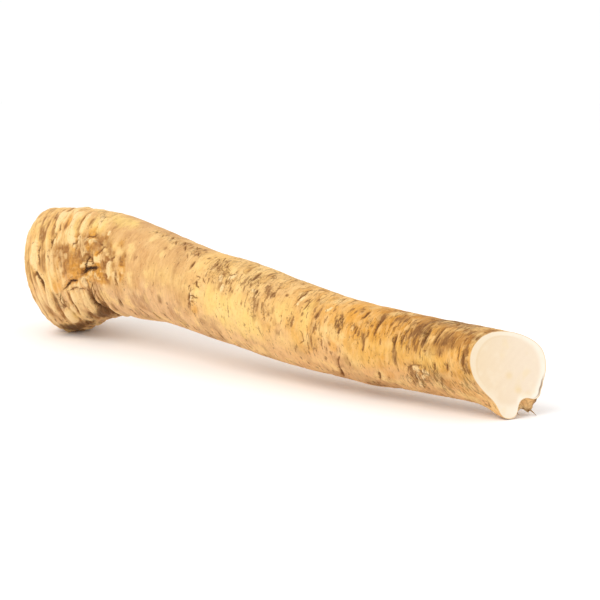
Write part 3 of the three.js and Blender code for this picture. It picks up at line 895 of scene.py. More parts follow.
# %% Trim the last ring to the knife's plane
in_plane = unit(np.array([1.0, 0, 0]) - cut_normal[0] * cut_normal)  # towards +X within the plane
rim = shaped[-1] - ((shaped[-1] - cut_middle) @ cut_normal / cut_normal[0])[:, None] * [1.0, 0, 0]
WALL_GAP, RIM_GAP = 0.02, 0.05  # mm kept from the box's end wall, and behind the knife's plane
rim = rim - np.maximum(rim[:, :1] - (high[0] - WALL_GAP), 0) / in_plane[0] * in_plane
past_knife = (shaped - cut_middle) @ cut_normal
shaped = shaped - np.maximum(past_knife + RIM_GAP, 0)[..., None] / cut_normal[0] * [1.0, 0, 0]
shaped[-1] = rim
print("rim: flat to", np.abs((rim - cut_middle) @ cut_normal).max().round(4), "mm")

# %% [markdown]
# ## The cut face
#
# Rings of points run from the rim to the middle of the flesh. The knife left it almost flat: it dips
# by a fraction of a millimetre as the flesh dries, and carries faint parallel marks of the blade.

# %% Shape the cut face
FACE_RINGS = 26
DRY_DIP = 0.28  # mm that the middle of the flesh has sunk
BLADE_MARK, BLADE_STEP = 0.03, 0.42  # mm high, and mm for a mark to turn by one radian
FLECKS = [(-1.6, 16.2, 1.5), (1.6, 10.4, 1.2)]  # yellowish flecks in the wood: sideways, height, size in mm
share_out = (1 - np.linspace(0, 1, FACE_RINGS + 1)[1:-1])[:, None]
face_middle = rim.mean(0)
face = face_middle + share_out[..., None] * (rim - face_middle)
blade_marks = BLADE_MARK * np.sin(face @ np.array([0.25, 0.6, -0.75]) / BLADE_STEP)
rim_reach = np.linalg.norm(rim - face_middle, axis=1)
round_reach = np.minimum(blur(rim_reach, 11, 0, True), rim_reach)
wood_share = np.linalg.norm(face - face_middle, axis=-1) / round_reach
dip = -DRY_DIP * (1 - share_out**5) + blade_marks * ease((1 - share_out) * 8)
face = face + dip[..., None] * cut_normal
face_centre = face_middle - DRY_DIP * cut_normal
from_middle = face - face_middle
leftward = -from_middle[..., 1] / rim_reach.mean()
ring_shows = ease(0.45 + 0.5 * leftward + 0.5 * from_middle[..., 2] / rim_reach.mean())
flesh_spots = np.zeros(face.shape[:2])
for sideways, height, size in FLECKS:
    flesh_spots += np.exp(-((face[..., 1] - sideways) ** 2 + (face[..., 2] - height) ** 2) / size**2)
STUMP_TURN, STUMP_SPREAD = 126, 16  # degrees: where the broken side root browns the rim
rim_turn = (np.degrees(turn) - STUMP_TURN) / STUMP_SPREAD
rim_dark = ease((share_out - 0.92) / 0.05) * np.exp(-(rim_turn**2))
print("cut face:", np.ptp(rim[:, 1]).round(1), "mm wide,", np.ptp(rim[:, 2]).round(1), "mm high")

# %% [markdown]
# ## One closed mesh
#
# Points go in as rows: the pole, the bark's rings, the face's rings, the middle. Quads join each
# row to the next and triangles close both ends. A crease along the rim keeps the knife's edge sharp.


# %% Join the rows into a mesh
def new_mesh(name, points, faces):
    """An object at the origin with these points and faces, smooth all over."""
    mesh = bpy.data.meshes.new(name)
    mesh.from_pydata(points.tolist(), [], faces)
    mesh.polygons.foreach_set("use_smooth", np.ones(len(mesh.polygons), bool))
    piece = bpy.data.objects.new(name, mesh)
    bpy.context.scene.collection.objects.link(piece)
    return piece


rows = np.concatenate([shaped, face])
pole = shaped[0].mean(0)
points = np.concatenate([[pole], rows.reshape(-1, 3), [face_centre]]) * MM
at = 1 + np.arange(len(rows))[:, None] * SPOKES + np.arange(SPOKES)[None]
beside = np.roll(at, -1, 1)
quads = np.stack([at[:-1], at[1:], beside[1:], beside[:-1]], -1).reshape(-1, 4)
first_fan = np.stack([np.zeros(SPOKES, int), at[0], beside[0]], -1)
last_fan = np.stack([np.full(SPOKES, len(points) - 1), beside[-1], at[-1]], -1)
root = new_mesh("root_bark_and_cut", points, quads.tolist() + first_fan.tolist() + last_fan.tolist())
mesh = root.data
sizes = numbers_of(mesh.polygons, "area", 1)[:, None]
outflow = numbers_of(mesh.polygons, "center", 3) * numbers_of(mesh.polygons, "normal", 3) * sizes
volume = float(outflow.sum()) / 3 * 1e6
print("root:", 2 * len(quads) + 2 * SPOKES, "triangles")
print("volume", round(volume, 1), "cm3: it is positive, so the faces point outwards")

# %% [markdown]
# ## Rootlets
#
# Scrubbing leaves a few hair roots, on the broken side root and on the far side. Each is a thin tube
# that tapers and sags and is closed at both ends. All of them are rows of one array: hair by hair,
# ring by ring along the hair, and point by point round the ring.

# %% Grow the rootlets
HAIRS = [  # along, turn, length, thickness at the foot in mm, lean towards the cut, lean round, sag
    (139.2, 146, 3.0, 0.30, 0.3, -0.9, 0.1),
    (138.6, 154, 2.0, 0.24, 0.2, -0.2, 0.4),
    (137.0, 136, 1.6, 0.20, -0.3, -0.3, 0.3),
]
HAIR_LOTS = [(-70, 135), (60, 172), (1.2, 3.6), (0.16, 0.28), (-0.9, 0.9), (-0.9, 0.9), (0, 0.5)]
HAIRS += [tuple(lots.uniform(*ends) for ends in HAIR_LOTS) for _ in range(14)]
HAIR_RINGS, HAIR_SIDES = 9, 7
ROOTED = 0.4  # mm that a hair's foot is under the skin
along, degrees, length, thickness, lean_on, lean_round, sag = np.array(HAIRS).T[..., None]
row = np.abs(ALONG[:, :1] - along.T).argmin(0)
column = np.round(degrees[:, 0] / 360 * SPOKES).astype(int) % SPOKES
out = outward(shaped)[row, column]
aim = unit(out + lean_on * forward[row] + lean_round * np.cross(out, forward[row]))
travel = np.linspace(0, 1, HAIR_RINGS)[None, :, None]
spine = (shaped[row, column] - ROOTED * out)[:, None] + aim[:, None] * length[:, None] * travel
spine = spine - (sag * length)[:, None] * travel**2 * [0.0, 0.0, 1.0]
spine = np.clip(spine, low + 0.3, high - 0.3)
to_side = unit(np.cross(aim, [0.3, 0.2, 1.0]))
to_top = np.cross(aim, to_side)
clock = (np.arange(HAIR_SIDES) * 2 * np.pi / HAIR_SIDES)[:, None]
spread = np.cos(clock) * to_side[:, None] + np.sin(clock) * to_top[:, None]
tubes = spine[:, :, None] + (thickness[:, None] * (1 - 0.75 * travel))[..., None] * spread[:, None]
hair_points = np.concatenate([spine[:, :1], tubes.reshape(len(HAIRS), -1, 3), spine[:, -1:]], 1)
first = np.arange(len(HAIRS))[:, None, None] * hair_points.shape[1]
hair_at = first + 1 + np.arange(HAIR_RINGS)[:, None] * HAIR_SIDES + np.arange(HAIR_SIDES)
hair_beside = np.roll(hair_at, -1, 2)
hair_quads = np.stack([hair_at[:, :-1], hair_beside[:, :-1], hair_beside[:, 1:], hair_at[:, 1:]], -1)
foot = first[:, 0] + 0 * hair_at[:, 0]
tip = foot + hair_points.shape[1] - 1
feet = np.stack([foot, hair_beside[:, 0], hair_at[:, 0]], -1)
tips = np.stack([tip, hair_at[:, -1], hair_beside[:, -1]], -1)
hair_caps = np.concatenate([feet.reshape(-1, 3), tips.reshape(-1, 3)])
hair_faces = hair_quads.reshape(-1, 4).tolist() + hair_caps.tolist()
rootlets = new_mesh("rootlets", hair_points.reshape(-1, 3) * MM, hair_faces)
print(len(HAIRS), "rootlets, the longest", length.max().round(1), "mm")

# %% [markdown]
# ## Notes on the skin
#
# Where is the bark golden, smudged, stained or pale, and where are shade and highlight painted on it?
# Each answer is a mask, which is a number for every point of the net.

# %% Work out the masks
wrinkled = np.clip(body + 0.4 * neck, 0, 1)
lines = stronger(seams, (1.8 * small_lines[0], 0.5 * small_lines[1] * wrinkled))
lines = stronger(lines, (2.2 * large_lines[0], 0.7 * large_lines[1] * wrinkled))
lines = stronger(lines, cracks)
golden = ease((ALONG - 15 + 30 * rough(40, 3, 81)) / 75)
smudge = ease((ALONG - 92) / 30) * (0.45 + 0.55 * towards(-40)) * ease(0.55 + 1.4 * rough(14, 6, 82, 4))
# painted highlight on crests and raised plates, painted shade in valleys and hollows, and a random tone on
# top
crests = 0.7 * (broad - 0.47) * (1 - 0.7 * near_side) + 0.5 * (narrow - 0.42) + 0.3 * (fine - 0.4)
painted_light_and_tone = 0.5 + crown * crests
painted_light_and_tone = painted_light_and_tone + 0.45 * placed_folds + patch_rough * 0.3 * (plate_level - 0.5)
painted_light_and_tone = painted_light_and_tone + (0.25 + 0.25 * crown) * rough(5, 20, 85, 3)
painted_light_and_tone = painted_light_and_tone - (0.34 - 0.14 * crown) * np.clip(hollow / 0.5, -1, 1)
stain_and_shade = np.maximum(stain_and_shade, scar * ease(0.6 + 1.2 * rough(4, 8, 97, 3)))
underside_tint_and_bounce = ease((towards(190) + 0.15 + 0.5 * rough(12, 8, 84)) / 0.9)
ochre = patch_rough * ease(0.4 + 1.6 * rough(7, 14, 91, 3))
in_wrinkles = 0.5 * ease((ALONG - 60) / 40) * (0.3 + 0.7 * wrinkly)
ochre = ochre + in_wrinkles * ease(0.3 + 1.6 * rough(10, 9, 92, 3))
ochre = ochre + 0.4 * crown * ease(0.1 + 1.8 * rough(6, 14, 94, 3))
ochre = np.maximum(ochre, tints["ochre"])
shade = ease((ALONG - 78) / 22) * (0.12 + 0.88 * ease((towards(327) - 0.66) / 0.3))
shade = shade * (0.8 + 0.65 * rough(9, 8, 93, 3)) * (1 - 0.3 * ease((ALONG - 130) / 8))
bruise = ease((towards(200) - 0.3) / 0.5) * ease(0.1 + 2.4 * rough(7, 12, 98, 4))
print("stained share of the bark:", (stain_and_shade > 0.3).mean().round(3))
print("brown share of the thin end:", (shade[ALONG > 100] > 0.5).mean().round(3))

# %% [markdown]
# The masks are stored on the mesh, so that the materials can read them where the relief has them.
# `place` is the skin's own coordinate in millimetres: along the root, and round it on a circle of the
# local girth. A pattern that reads it follows the bends of the root and has no seam.


# %% Store the masks
def note(name, bark_values, face_value=0.0):
    """Stores one number per point: the bark's array, and one value for every point of the cut face."""
    on_face = np.broadcast_to(face_value, (len(face), SPOKES))
    flat = np.concatenate([bark_values, on_face]).reshape(-1)
    all_points = np.concatenate([[flat[0]], flat, [flat[-1]]]).astype(np.float32)
    mesh.attributes.new(name, "FLOAT", "POINT").data.foreach_set("value", all_points)


BARK_NOTES = {
    "line_across": lines[0].clip(-8, 8),  # half-widths to the nearest line
    "line_strength": lines[1].clip(0, 1.3),
    "rough_patch": patch_rough,  # the four regions, and what crumbles within the patch
    "crumbly": crumbly,
    "neck": neck,
    "crown": crown,
    "busy": busy,
    "joint": patch_rough * joint,  # between the plates
    "worn": worn.clip(0, 1),
    "flake": flake_mask,
    "stain_and_shade": stain_and_shade,
    "painted_light_and_tone": painted_light_and_tone.clip(0, 1),  # painted highlight near 1 on crests, painted shade near 0 in grooves, with random tone between
    "golden": golden,  # towards the cut
    "smudge": smudge.clip(0, 1),
    "shade": shade.clip(0, 1),  # the brown upper side of the thin end
    "ochre": ochre.clip(0, 1),
    "yellow_and_highlight": tints["yellow_and_highlight"],
    "underside_tint_and_bounce": underside_tint_and_bounce,  # the underside: pinkish tint with painted light reflected from the table, and the brown places on it
    "bruise": bruise,
}
FACE_NOTES = {  # what the bark has, and what the cut face has
    "rim_share": (1, share_out),  # 1 at the rim and on the bark, 0 in the middle
    "wood_share": (1, wood_share),
    "leftward": (0, leftward),
    "ring_shows": (0, ring_shows),
    "flesh_spots": (0, flesh_spots),
    "rim_dark": (0, rim_dark),
}
for name, values in BARK_NOTES.items():
    note(name, values)
for name, (bark_value, face_values) in FACE_NOTES.items():
    note(name, np.full_like(ALONG, bark_value), face_values)
place = np.stack([ALONG, GIRTH * np.cos(TURN), GIRTH * np.sin(TURN)], -1)
place = np.concatenate([place, face]).reshape(-1, 3)
place = np.concatenate([place[:1], place, [face_centre]]).astype(np.float32)
mesh.attributes.new("place", "FLOAT_VECTOR", "POINT").data.foreach_set("vector", place.reshape(-1))
print(len(BARK_NOTES), "masks for the bark and", len(FACE_NOTES), "for the cut face")

# %% Sharpen the rim and give the cut its own material slot
edge_ends = numbers_of(mesh.edges, "vertices", 2, np.int32)
on_rim = ((edge_ends >= at[RINGS - 1].min()) & (edge_ends <= at[RINGS - 1].max())).all(1)
mesh.attributes.new("sharp_edge", "BOOLEAN", "EDGE").data.foreach_set("value", on_rim)
slots = np.zeros(len(mesh.polygons), np.int32)
slots[(RINGS - 1) * SPOKES : len(quads)] = 1
slots[len(quads) + SPOKES :] = 1
mesh.polygons.foreach_set("material_index", slots)
print("sharp edges:", int(on_rim.sum()), "flesh faces:", int(slots.sum()))


# %% Colours and nodes
def linear(hex_colour):
    """An sRGB hex colour as linear red, green, blue and alpha, by the sRGB curve."""
    parts = np.array([int(hex_colour[i : i + 2], 16) for i in (1, 3, 5)]) / 255
    bent = np.where(parts <= 0.04045, parts / 12.92, ((parts + 0.055) / 1.055) ** 2.4)
    return (*bent.tolist(), 1.0)


def add(material, kind, settings, sockets, output=0):
    """Adds one node, sets its properties, fills its sockets and gives back one of its outputs.

    A socket, named by its identifier, gets a number or vector, a hex colour, or another's output."""
    node = material.node_tree.nodes.new(kind)
    for name, value in settings.items():
        setattr(node, name, value)
    for socket in node.inputs:
        value = sockets.get(socket.identifier)
        if isinstance(value, bpy.types.NodeSocket):
            material.node_tree.links.new(value, socket)
        elif value is not None:
            socket.default_value = linear(value) if isinstance(value, str) else value
    return node.outputs[output] if node.outputs else None


def blank(name):
    """A material with an empty node tree."""
    material = bpy.data.materials.new(name)
    material.use_nodes = True
    material.node_tree.nodes.clear()
    return material


print("a mid tan is", [round(x, 3) for x in linear("#e6b675")[:3]])

# %% [markdown]
# These are the kinds of node that the materials use, under short names.
#
# The colours of a surface go on like coats of paint, from the ground colour up. Each coat follows a
# pattern or a mask. The coat is nothing where that has one level and full where it has another, with a
# smooth ramp between. Where it is full, it covers what is under it by its strength.

# %% Coats of colour
ATTRIBUTE, MATH, VECTOR_MATH = "ShaderNodeAttribute", "ShaderNodeMath", "ShaderNodeVectorMath"
NOISE, CELLS, MIX = "ShaderNodeTexNoise", "ShaderNodeTexVoronoi", "ShaderNodeMix"
SHADER, OUTPUT = "ShaderNodeBsdfPrincipled", "ShaderNodeOutputMaterial"
RAMP, SMOOTH = "ShaderNodeMapRange", {"interpolation_type": "SMOOTHSTEP"}


def paint(material, ground, coats, shares):
    """Lays coats over a ground colour: colour + (hue - colour) * strength * smooth ramp of a share.

    A coat is: the name of its share, the level for none, the level for full, strength, hue."""
    colour = ground
    for name, none, full, strength, hue in coats:
        amount = add(material, RAMP, SMOOTH,
                     {"Value": shares[name], "From Min": none, "From Max": full, "To Max": strength})
        colour = add(material, MIX, {"data_type": "RGBA"},
                     {"Factor_Float": amount, "A_Color": colour, "B_Color": hue}, 2)
    return colour


tan, brown = np.array([linear("#e9bb70"), linear("#8f5c2b")])
print("brown at strength 0.9 over tan gives", (tan + (brown - tan) * 0.9)[:3].round(3))

# %% [markdown]
# ## Corky bark
#
# Horseradish bark is a thin dry cork. It is dull, because light sinks in between the cork cells, so its
# roughness is high and its highlight broad and weak. Its colour changes at three scales. Clouds of
# lighter and darker tan are some 15 mm long. Streaks about 1 mm wide run round the root. Specks and
# dashes of dark soil fill the smallest cracks.
#
# Each pattern is a noise that reads `place`, with its own number of features per millimetre along the
# root and round it. A pattern stretched round the root has fewer per millimetre in that direction.

# %% Read the masks
bark = blank("washed_cork_bark")
on_bark = {name: add(bark, ATTRIBUTE, {"attribute_name": name}, {}, "Fac") for name in BARK_NOTES}
bark_place = add(bark, ATTRIBUTE, {"attribute_name": "place"}, {}, "Vector")
print("bark reads", ", ".join(on_bark))

# %% Lay the patterns
TIMES = {"operation": "MULTIPLY"}
PATTERNS = {  # features per mm along, per mm round, layers of detail
    "clouds": (0.05, 0.06, 5.0),
    "patches": (0.14, 0.12, 3.0),
    "streaks": (0.75, 0.20, 3.0),
    "threads": (1.9, 0.50, 2.0),
    "dashes": (0.75, 0.26, 4.0),
    "specks": (1.2, 1.2, 2.0),
    "long_grain": (0.20, 0.75, 3.0),
    "rings": (0.42, 0.07, 4.0),
}
for name, (along, across, layers) in PATTERNS.items():
    stretched = add(bark, VECTOR_MATH, TIMES,
                    {"Vector": bark_place, "Vector_001": (along, across, across)})
    on_bark[name] = add(bark, NOISE, {},
                        {"Vector": stretched, "Scale": 1.0, "Detail": layers, "Roughness": 0.55})
on_bark["grain"] = add(bark, MIX, {"data_type": "FLOAT"},
                       {"Factor_Float": on_bark["rough_patch"],
                        "A_Float": on_bark["streaks"], "B_Float": on_bark["long_grain"]})
print("patterns:", ", ".join(PATTERNS), "and grain, which runs round, or along in the rough patch")

# %% [markdown]
# A crack's darkness comes from `line_across`. A little noise is added to it first, so the crack's edge
# is ragged, and then everything within one half-width of zero turns dark.

# %% Draw the cracks
CRACK_CORE, CRACK_EDGE = 0.35, 1.35  # half-widths where the dark starts to fade and where it ends
ragged = add(bark, RAMP, {}, {"Value": on_bark["specks"], "From Min": 0.3, "From Max": 0.7,
                              "To Min": -0.7, "To Max": 0.7})
shaken = add(bark, MATH, {"operation": "ADD"}, {"Value": on_bark["line_across"], "Value_001": ragged})
either_side = add(bark, MATH, {"operation": "ABSOLUTE"}, {"Value": shaken})
core = add(bark, RAMP, SMOOTH, {"Value": either_side, "From Min": CRACK_EDGE, "From Max": CRACK_CORE})
on_bark["crack"] = add(bark, MATH, {"operation": "MULTIPLY", "use_clamp": True},
                       {"Value": core, "Value_001": on_bark["line_strength"]})
print("cracks fade out between", CRACK_CORE, "and", CRACK_EDGE, "half-widths")

# %% [markdown]
# Dashes of soil are the highest parts of a stretched noise, those above a cut-off. Where the bark is worn
# or wrinkled the noise is lifted, so there are more of them. Stains and painted shade are broken up in the
# same way: the noise is added to them before the cut-off, so their edges are made of streaks.

# %% Draw the dashes and the stains
TIMES_PLUS = {"operation": "MULTIPLY_ADD"}
LIFTS = [  # what lifts the noise over the cut-off, by how much
    ("worn", 0.08),
    ("busy", 0.025),
    ("neck", -0.04),
    ("crown", -0.04),
    ("stain_and_shade", 0.10),
    ("rough_patch", -0.02),
    ("shade", 0.05),
    ("patches", -0.14),
]
dash_level = on_bark["dashes"]
for name, lift in LIFTS:
    dash_level = add(bark, MATH, TIMES_PLUS,
                     {"Value": on_bark[name], "Value_001": lift, "Value_002": dash_level})
speck_level = add(bark, MATH, TIMES_PLUS,
                  {"Value": on_bark["worn"], "Value_001": 0.16, "Value_002": on_bark["specks"]})
streaky = add(bark, MATH, {"operation": "ADD"},
              {"Value": on_bark["dashes"], "Value_001": on_bark["streaks"]})
on_bark["broken_stain_and_shade"] = add(bark, MATH, TIMES_PLUS,
                              {"Value": streaky, "Value_001": 1.2, "Value_002": on_bark["stain_and_shade"]})
SOIL = {  # the level that is looked at, where soil starts and where it is full
    "soil_dashes": (dash_level, 0.535, 0.62),
    "soil_specks": (speck_level, 0.64, 0.72),
}
for name, (level, none, full) in SOIL.items():
    on_bark[name] = add(bark, RAMP, SMOOTH, {"Value": level, "From Min": none, "From Max": full})
print(len(LIFTS), "things make the dashes more or fewer")

# %% [markdown]
# Thin wavy lines are the places where a stretched noise passes through its middle value, so
# |noise - 0.5| is almost nothing there. In the crumbly bark they run along the root. On the wrinkled
# bark they run round it, as hair cracks. Near the cut there are short cracks and fine wrinkles as well.

# %% Draw the wavy lines
WAVY = {  # which noise, how near its middle value, which mask, which noise breaks the line
    "wavy_joints": ("long_grain", 0.020, "crumbly", "clouds"),
    "hair_cracks": ("rings", 0.022, "busy", "patches"),
    "end_cracks": ("streaks", 0.020, "shade", "dashes"),
    "end_wrinkles": ("rings", 0.040, "smudge", "patches"),
}
for name, (noise, nearness, mask, breaker) in WAVY.items():
    off_middle = add(bark, MATH, {"operation": "SUBTRACT"}, {"Value": on_bark[noise], "Value_001": 0.5})
    near_middle = add(bark, MATH, {"operation": "ABSOLUTE"}, {"Value": off_middle})
    thin = add(bark, RAMP, SMOOTH, {"Value": near_middle, "From Min": nearness, "From Max": nearness / 6})
    places = add(bark, RAMP, SMOOTH, {"Value": on_bark[breaker], "From Min": 0.44, "From Max": 0.58})
    broken = add(bark, MATH, TIMES, {"Value": thin, "Value_001": places})
    on_bark[name] = add(bark, MATH, TIMES, {"Value": broken, "Value_001": on_bark[mask]})
print("wavy lines:", ", ".join(WAVY))

# %% [markdown]
# Torn bark crumbles, and old bark splits into scales. Both are cells about scattered points, pushed
# about by a noise so that their outlines are ragged. Each cell has its own level of colour and a thin
# joint round it. Crumbs are a little longer than wide. Scales are stretched round the root.

# %% Break the bark into crumbs and scales
PUSH = 3.4  # mm that the noise may push a cell
wander = add(bark, NOISE, {}, {"Vector": bark_place, "Scale": 0.35, "Detail": 3.0}, "Color")
pushed = add(bark, VECTOR_MATH, TIMES_PLUS,
             {"Vector": wander, "Vector_001": (PUSH, PUSH, PUSH), "Vector_002": bark_place})
CELL_SIZES = {  # cells per mm along, per mm round, where they show
    "crumbs": (0.24, 0.36, "crumbly"),
    "scales": (0.38, 0.17, "busy"),
}
for name, (along, across, mask) in CELL_SIZES.items():
    stretched = add(bark, VECTOR_MATH, TIMES,
                    {"Vector": pushed, "Vector_001": (along, across, across)})
    level = add(bark, CELLS, {}, {"Vector": stretched, "Scale": 1.0}, "Color")
    edge = add(bark, CELLS, {"feature": "DISTANCE_TO_EDGE"},
               {"Vector": stretched, "Scale": 1.0}, "Distance")
    pale = add(bark, MATH, TIMES, {"Value": level, "Value_001": on_bark[mask]})
    dark = add(bark, MATH, {"operation": "SUBTRACT"}, {"Value": on_bark[mask], "Value_001": pale})
    thin = add(bark, RAMP, SMOOTH, {"Value": edge, "From Min": 0.14, "From Max": 0.01})
    joint_line = add(bark, MATH, TIMES, {"Value": thin, "Value_001": dark})
    on_bark.update({"pale_" + name: pale, "dark_" + name: dark, "joints_of_" + name: joint_line})
print("cells:", ", ".join(CELL_SIZES))

# %% Paint the bark
BARK_COATS = [  # what the coat follows, level for none, level for full, strength, hue
    ("clouds", 0.4, 0.65, 0.5, "#d9a56c"),
    ("golden", 0.0, 1.0, 0.7, "#dfa045"),
    ("neck", 0.2, 1.0, 0.68, "#cd9c66"),
    ("rough_patch", 0.1, 0.9, 1.0, "#b27b3c"),
    # painted light reflected up from the white table, with the underside's pinkish tint
    ("underside_tint_and_bounce", 0.1, 1.0, 0.55, "#e6b98c"),
    ("shade", 0.05, 0.9, 1.0, "#9f6522"),
    ("bruise", 0.1, 0.9, 0.42, "#a2724a"),
    ("patches", 0.5, 0.68, 0.7, "#f3cb84"),
    ("patches", 0.46, 0.28, 0.45, "#c58e54"),
    # yellow places, and the painted highlight on top of the crown and neck
    ("yellow_and_highlight", 0.05, 0.95, 0.75, "#f3cf78"),
    ("ochre", 0.1, 0.9, 0.75, "#dc972f"),
    # painted highlight on crests, then painted shade in grooves
    ("painted_light_and_tone", 0.5, 0.95, 0.9, "#f5d193"),
    ("painted_light_and_tone", 0.5, 0.05, 0.9, "#8f5c2b"),
    ("pale_crumbs", 0.5, 0.8, 0.25, "#f0bd68"),
    ("dark_crumbs", 0.5, 0.8, 0.25, "#9a6630"),
    ("pale_scales", 0.15, 0.5, 0.3, "#f6d294"),
    ("dark_scales", 0.25, 0.6, 0.2, "#a8733a"),
    ("grain", 0.52, 0.72, 0.35, "#a9743d"),
    ("grain", 0.5, 0.3, 0.3, "#f0c587"),
    ("threads", 0.5, 0.75, 0.3, "#b07c45"),
    ("worn", 0.2, 1.0, 0.3, "#b07f45"),
    ("smudge", 0.1, 0.9, 0.25, "#8a683c"),
    # stains, and painted shade under the crown, in its crease and at the side root's foot
    ("stain_and_shade", 0.05, 0.95, 0.5, "#9a6c3c"),
    ("broken_stain_and_shade", 1.7, 2.3, 0.6, "#6e4722"),
    ("threads", 0.46, 0.3, 0.3, "#e9b768"),
    ("stain_and_shade", 0.85, 1.3, 0.6, "#523216"),
    ("flake", 0.2, 0.9, 0.7, "#f3d198"),
    ("soil_dashes", 0.0, 1.0, 0.65, "#855528"),
    ("soil_specks", 0.0, 1.0, 0.45, "#7f5228"),
    ("joint", 0.3, 1.0, 0.35, "#85562a"),
    ("joints_of_crumbs", 0.15, 0.7, 0.3, "#6f4520"),
    ("joints_of_scales", 0.1, 0.6, 0.3, "#7c5128"),
    ("wavy_joints", 0.1, 0.9, 0.55, "#70431d"),
    ("hair_cracks", 0.05, 0.7, 0.55, "#74491f"),
    ("end_cracks", 0.05, 0.6, 0.75, "#6f451e"),
    ("end_wrinkles", 0.05, 0.4, 0.6, "#75501f"),
    ("crack", 0.0, 0.7, 0.8, "#7a4f27"),
    ("crack", 0.6, 1.0, 0.85, "#2f1a0c"),
]
bark_colour = paint(bark, "#e9bb70", BARK_COATS, on_bark)
print(len(BARK_COATS), "coats on the bark")

# %% Roughen and finish the bark
HEIGHTS = [  # what the bump follows, share of its full height
    ("grain", 0.5),
    ("threads", 0.3),
    ("specks", 0.25),
    ("soil_dashes", -0.6),
    ("soil_specks", -0.4),
    ("wavy_joints", -0.4),
    ("hair_cracks", -0.5),
    ("end_cracks", -0.5),
    ("end_wrinkles", -0.5),
    ("joints_of_crumbs", -0.4),
    ("pale_crumbs", 0.4),
    ("joints_of_scales", -0.5),
    ("crack", -0.9),
]
height = 0.0
for name, share in HEIGHTS:
    height = add(bark, MATH, TIMES_PLUS, {"Value": on_bark[name], "Value_001": share, "Value_002": height})
bump = add(bark, "ShaderNodeBump", {}, {"Height": height, "Strength": 0.6, "Distance": 0.4 * MM})
shader = add(bark, SHADER, {}, {"Base Color": bark_colour, "Roughness": 0.68, "IOR": 1.4,
                                "Specular IOR Level": 0.35, "Normal": bump})
add(bark, OUTPUT, {}, {"Surface": shader})
print("bark nodes:", len(bark.node_tree.nodes))

# %% [markdown]
# ## Cut flesh
#
# Fresh horseradish is creamy white and wet enough for a soft shine. A faint ring, about a seventh of the
# way in, parts the bark's inner layers from the wood. The peel is a thin golden line at the rim.

# %% Paint the flesh
flesh = blank("fresh_cut_root_flesh")
on_face = {name: add(flesh, ATTRIBUTE, {"attribute_name": name}, {}, "Fac") for name in FACE_NOTES}
face_place = add(flesh, ATTRIBUTE, {"attribute_name": "place"}, {}, "Vector")
on_face["fibres"] = add(flesh, NOISE, {}, {"Vector": face_place, "Scale": 0.3, "Detail": 4.0})
on_face["bruises"] = add(flesh, NOISE, {}, {"Vector": face_place, "Scale": 0.16, "Detail": 2.0})
inner_edge, outer_edge = (
    add(flesh, RAMP, SMOOTH, {"Value": on_face["wood_share"], "From Min": none, "From Max": full})
    for none, full in ((0.78, 0.85), (0.91, 0.86))
)
ring = add(flesh, MATH, TIMES, {"Value": inner_edge, "Value_001": outer_edge})
on_face["ring"] = add(flesh, MATH, TIMES, {"Value": ring, "Value_001": on_face["ring_shows"]})
FLESH_COATS = [  # what the coat follows, level for none, level for full, strength, hue
    ("wood_share", 0.95, 0.78, 1.0, "#ebd8c0"),
    # yellower towards the left, so that the right side stays paler as a painted sheen
    ("leftward", -0.6, 1.0, 0.6, "#e7cda2"),
    ("fibres", 0.45, 0.7, 0.4, "#efdec4"),
    ("bruises", 0.55, 0.75, 0.35, "#e9d09f"),
    ("ring", 0.2, 1.3, 0.35, "#dfbf8e"),
    ("flesh_spots", 0.0, 1.0, 0.4, "#e6c88c"),
    ("rim_share", 0.975, 0.995, 0.7, "#dcb16c"),
    ("rim_dark", 0.1, 0.8, 0.8, "#7d5228"),
]
flesh_colour = paint(flesh, "#f3e9d8", FLESH_COATS, on_face)
shader = add(flesh, SHADER, {}, {"Base Color": flesh_colour, "Roughness": 0.5, "IOR": 1.38,
                                 "Specular IOR Level": 0.4})
add(flesh, OUTPUT, {}, {"Surface": shader})
mesh.materials.append(bark)
mesh.materials.append(flesh)
print("flesh nodes:", len(flesh.node_tree.nodes))

# %% [markdown]
# ## Dry hair roots
#
# The rootlets dried in the air: they are a darker brown than the bark, quite matt, and blotched.

# %% Paint the rootlets
hair_skin = blank("dry_hair_root")
hair_place = add(hair_skin, "ShaderNodeTexCoord", {}, {}, "Object")
blotches = add(hair_skin, NOISE, {}, {"Vector": hair_place, "Scale": 900.0, "Detail": 2.0})
hair_colour = add(hair_skin, MIX, {"data_type": "RGBA"},
                  {"Factor_Float": blotches, "A_Color": "#6f4a26", "B_Color": "#c39a66"}, 2)
shader = add(hair_skin, SHADER, {}, {"Base Color": hair_colour, "Roughness": 0.8})
add(hair_skin, OUTPUT, {}, {"Surface": shader})
rootlets.data.materials.append(hair_skin)
print("rootlet nodes:", len(hair_skin.node_tree.nodes))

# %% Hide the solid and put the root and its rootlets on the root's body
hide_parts("horseradish_root")
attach(root, "root")
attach(rootlets, "root")
print("the root and its rootlets ride on body root")

# %% [markdown]
# ## Studio
#
# A white table under a bright white room. One large soft lamp above and to the left of the camera
# gives the bark its gentle shading, and the white all round fills the shadows.

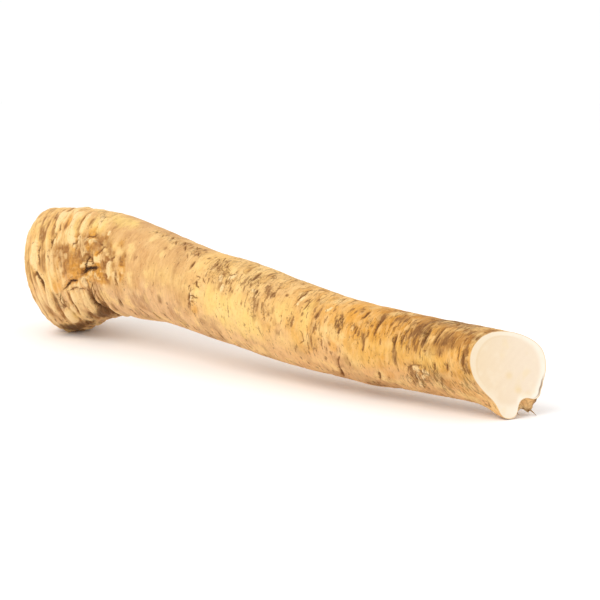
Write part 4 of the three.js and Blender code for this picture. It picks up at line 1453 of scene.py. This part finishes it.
# %% Table, room and lamp
HALF_TABLE = 40  # metres, so that its edge is never seen
corner_signs = [(-1, -1), (1, -1), (1, 1), (-1, 1)]
table_corners = np.array([(x * HALF_TABLE, y * HALF_TABLE, 0) for x, y in corner_signs])
floor = new_mesh("white_table", table_corners, [(0, 1, 2, 3)])
white = blank("matt_white_table")
shader = add(white, SHADER, {}, {"Base Color": "#ffffff", "Roughness": 0.9})
add(white, OUTPUT, {}, {"Surface": shader})
floor.data.materials.append(white)

world = bpy.data.worlds.new("white_room")
bpy.context.scene.world = world
world.use_nodes = True
world.node_tree.nodes["Background"].inputs["Color"].default_value = (1.0, 1.0, 1.0, 1.0)
world.node_tree.nodes["Background"].inputs["Strength"].default_value = 1.02


def lamp(name, place, target, size, watts):
    """A square soft lamp in metres, turned to face a point."""
    data = bpy.data.lights.new(name, "AREA")
    data.size = size
    data.energy = watts
    light = bpy.data.objects.new(name, data)
    light.location = place
    light.rotation_euler = (Vector(target) - Vector(place)).to_track_quat("-Z", "Y").to_euler()
    bpy.context.scene.collection.objects.link(light)


lamp("soft_key", (-0.1, -0.9, 1.2), (0, 0, 0.03), 0.9, 7.0)
bpy.context.scene.view_settings.view_transform = "Standard"

# %% [markdown]
# ## Camera
#
# The camera looks along a line 47 degrees off the root's length and 9 degrees down, from a
# little over half a metre, so the cut end looms larger than the crown.

# %% Place the camera
LOOK_AT = np.array([39.3, -3.0, 33.2])
OFF_AXIS, DOWN, AWAY = math.radians(47.0), math.radians(9.15), 528.8
VIEW_ANGLE, SENSOR = math.radians(27.0), 36
level_gaze = np.array([-math.cos(OFF_AXIS), math.sin(OFF_AXIS), 0])
gaze = math.cos(DOWN) * level_gaze - math.sin(DOWN) * np.array([0, 0, 1])
camera_data = bpy.data.cameras.new("camera")
camera_data.sensor_width = SENSOR
camera_data.lens = SENSOR / 2 / math.tan(VIEW_ANGLE / 2)
camera_data.clip_start = 0.01
camera = bpy.data.objects.new("camera", camera_data)
camera.location = (LOOK_AT - gaze * AWAY) * MM
camera.rotation_euler = Vector(gaze).to_track_quat("-Z", "Y").to_euler()
bpy.context.scene.collection.objects.link(camera)
bpy.context.scene.camera = camera
print("camera at", [round(x, 3) for x in camera.location], "lens", round(camera_data.lens, 1), "mm")
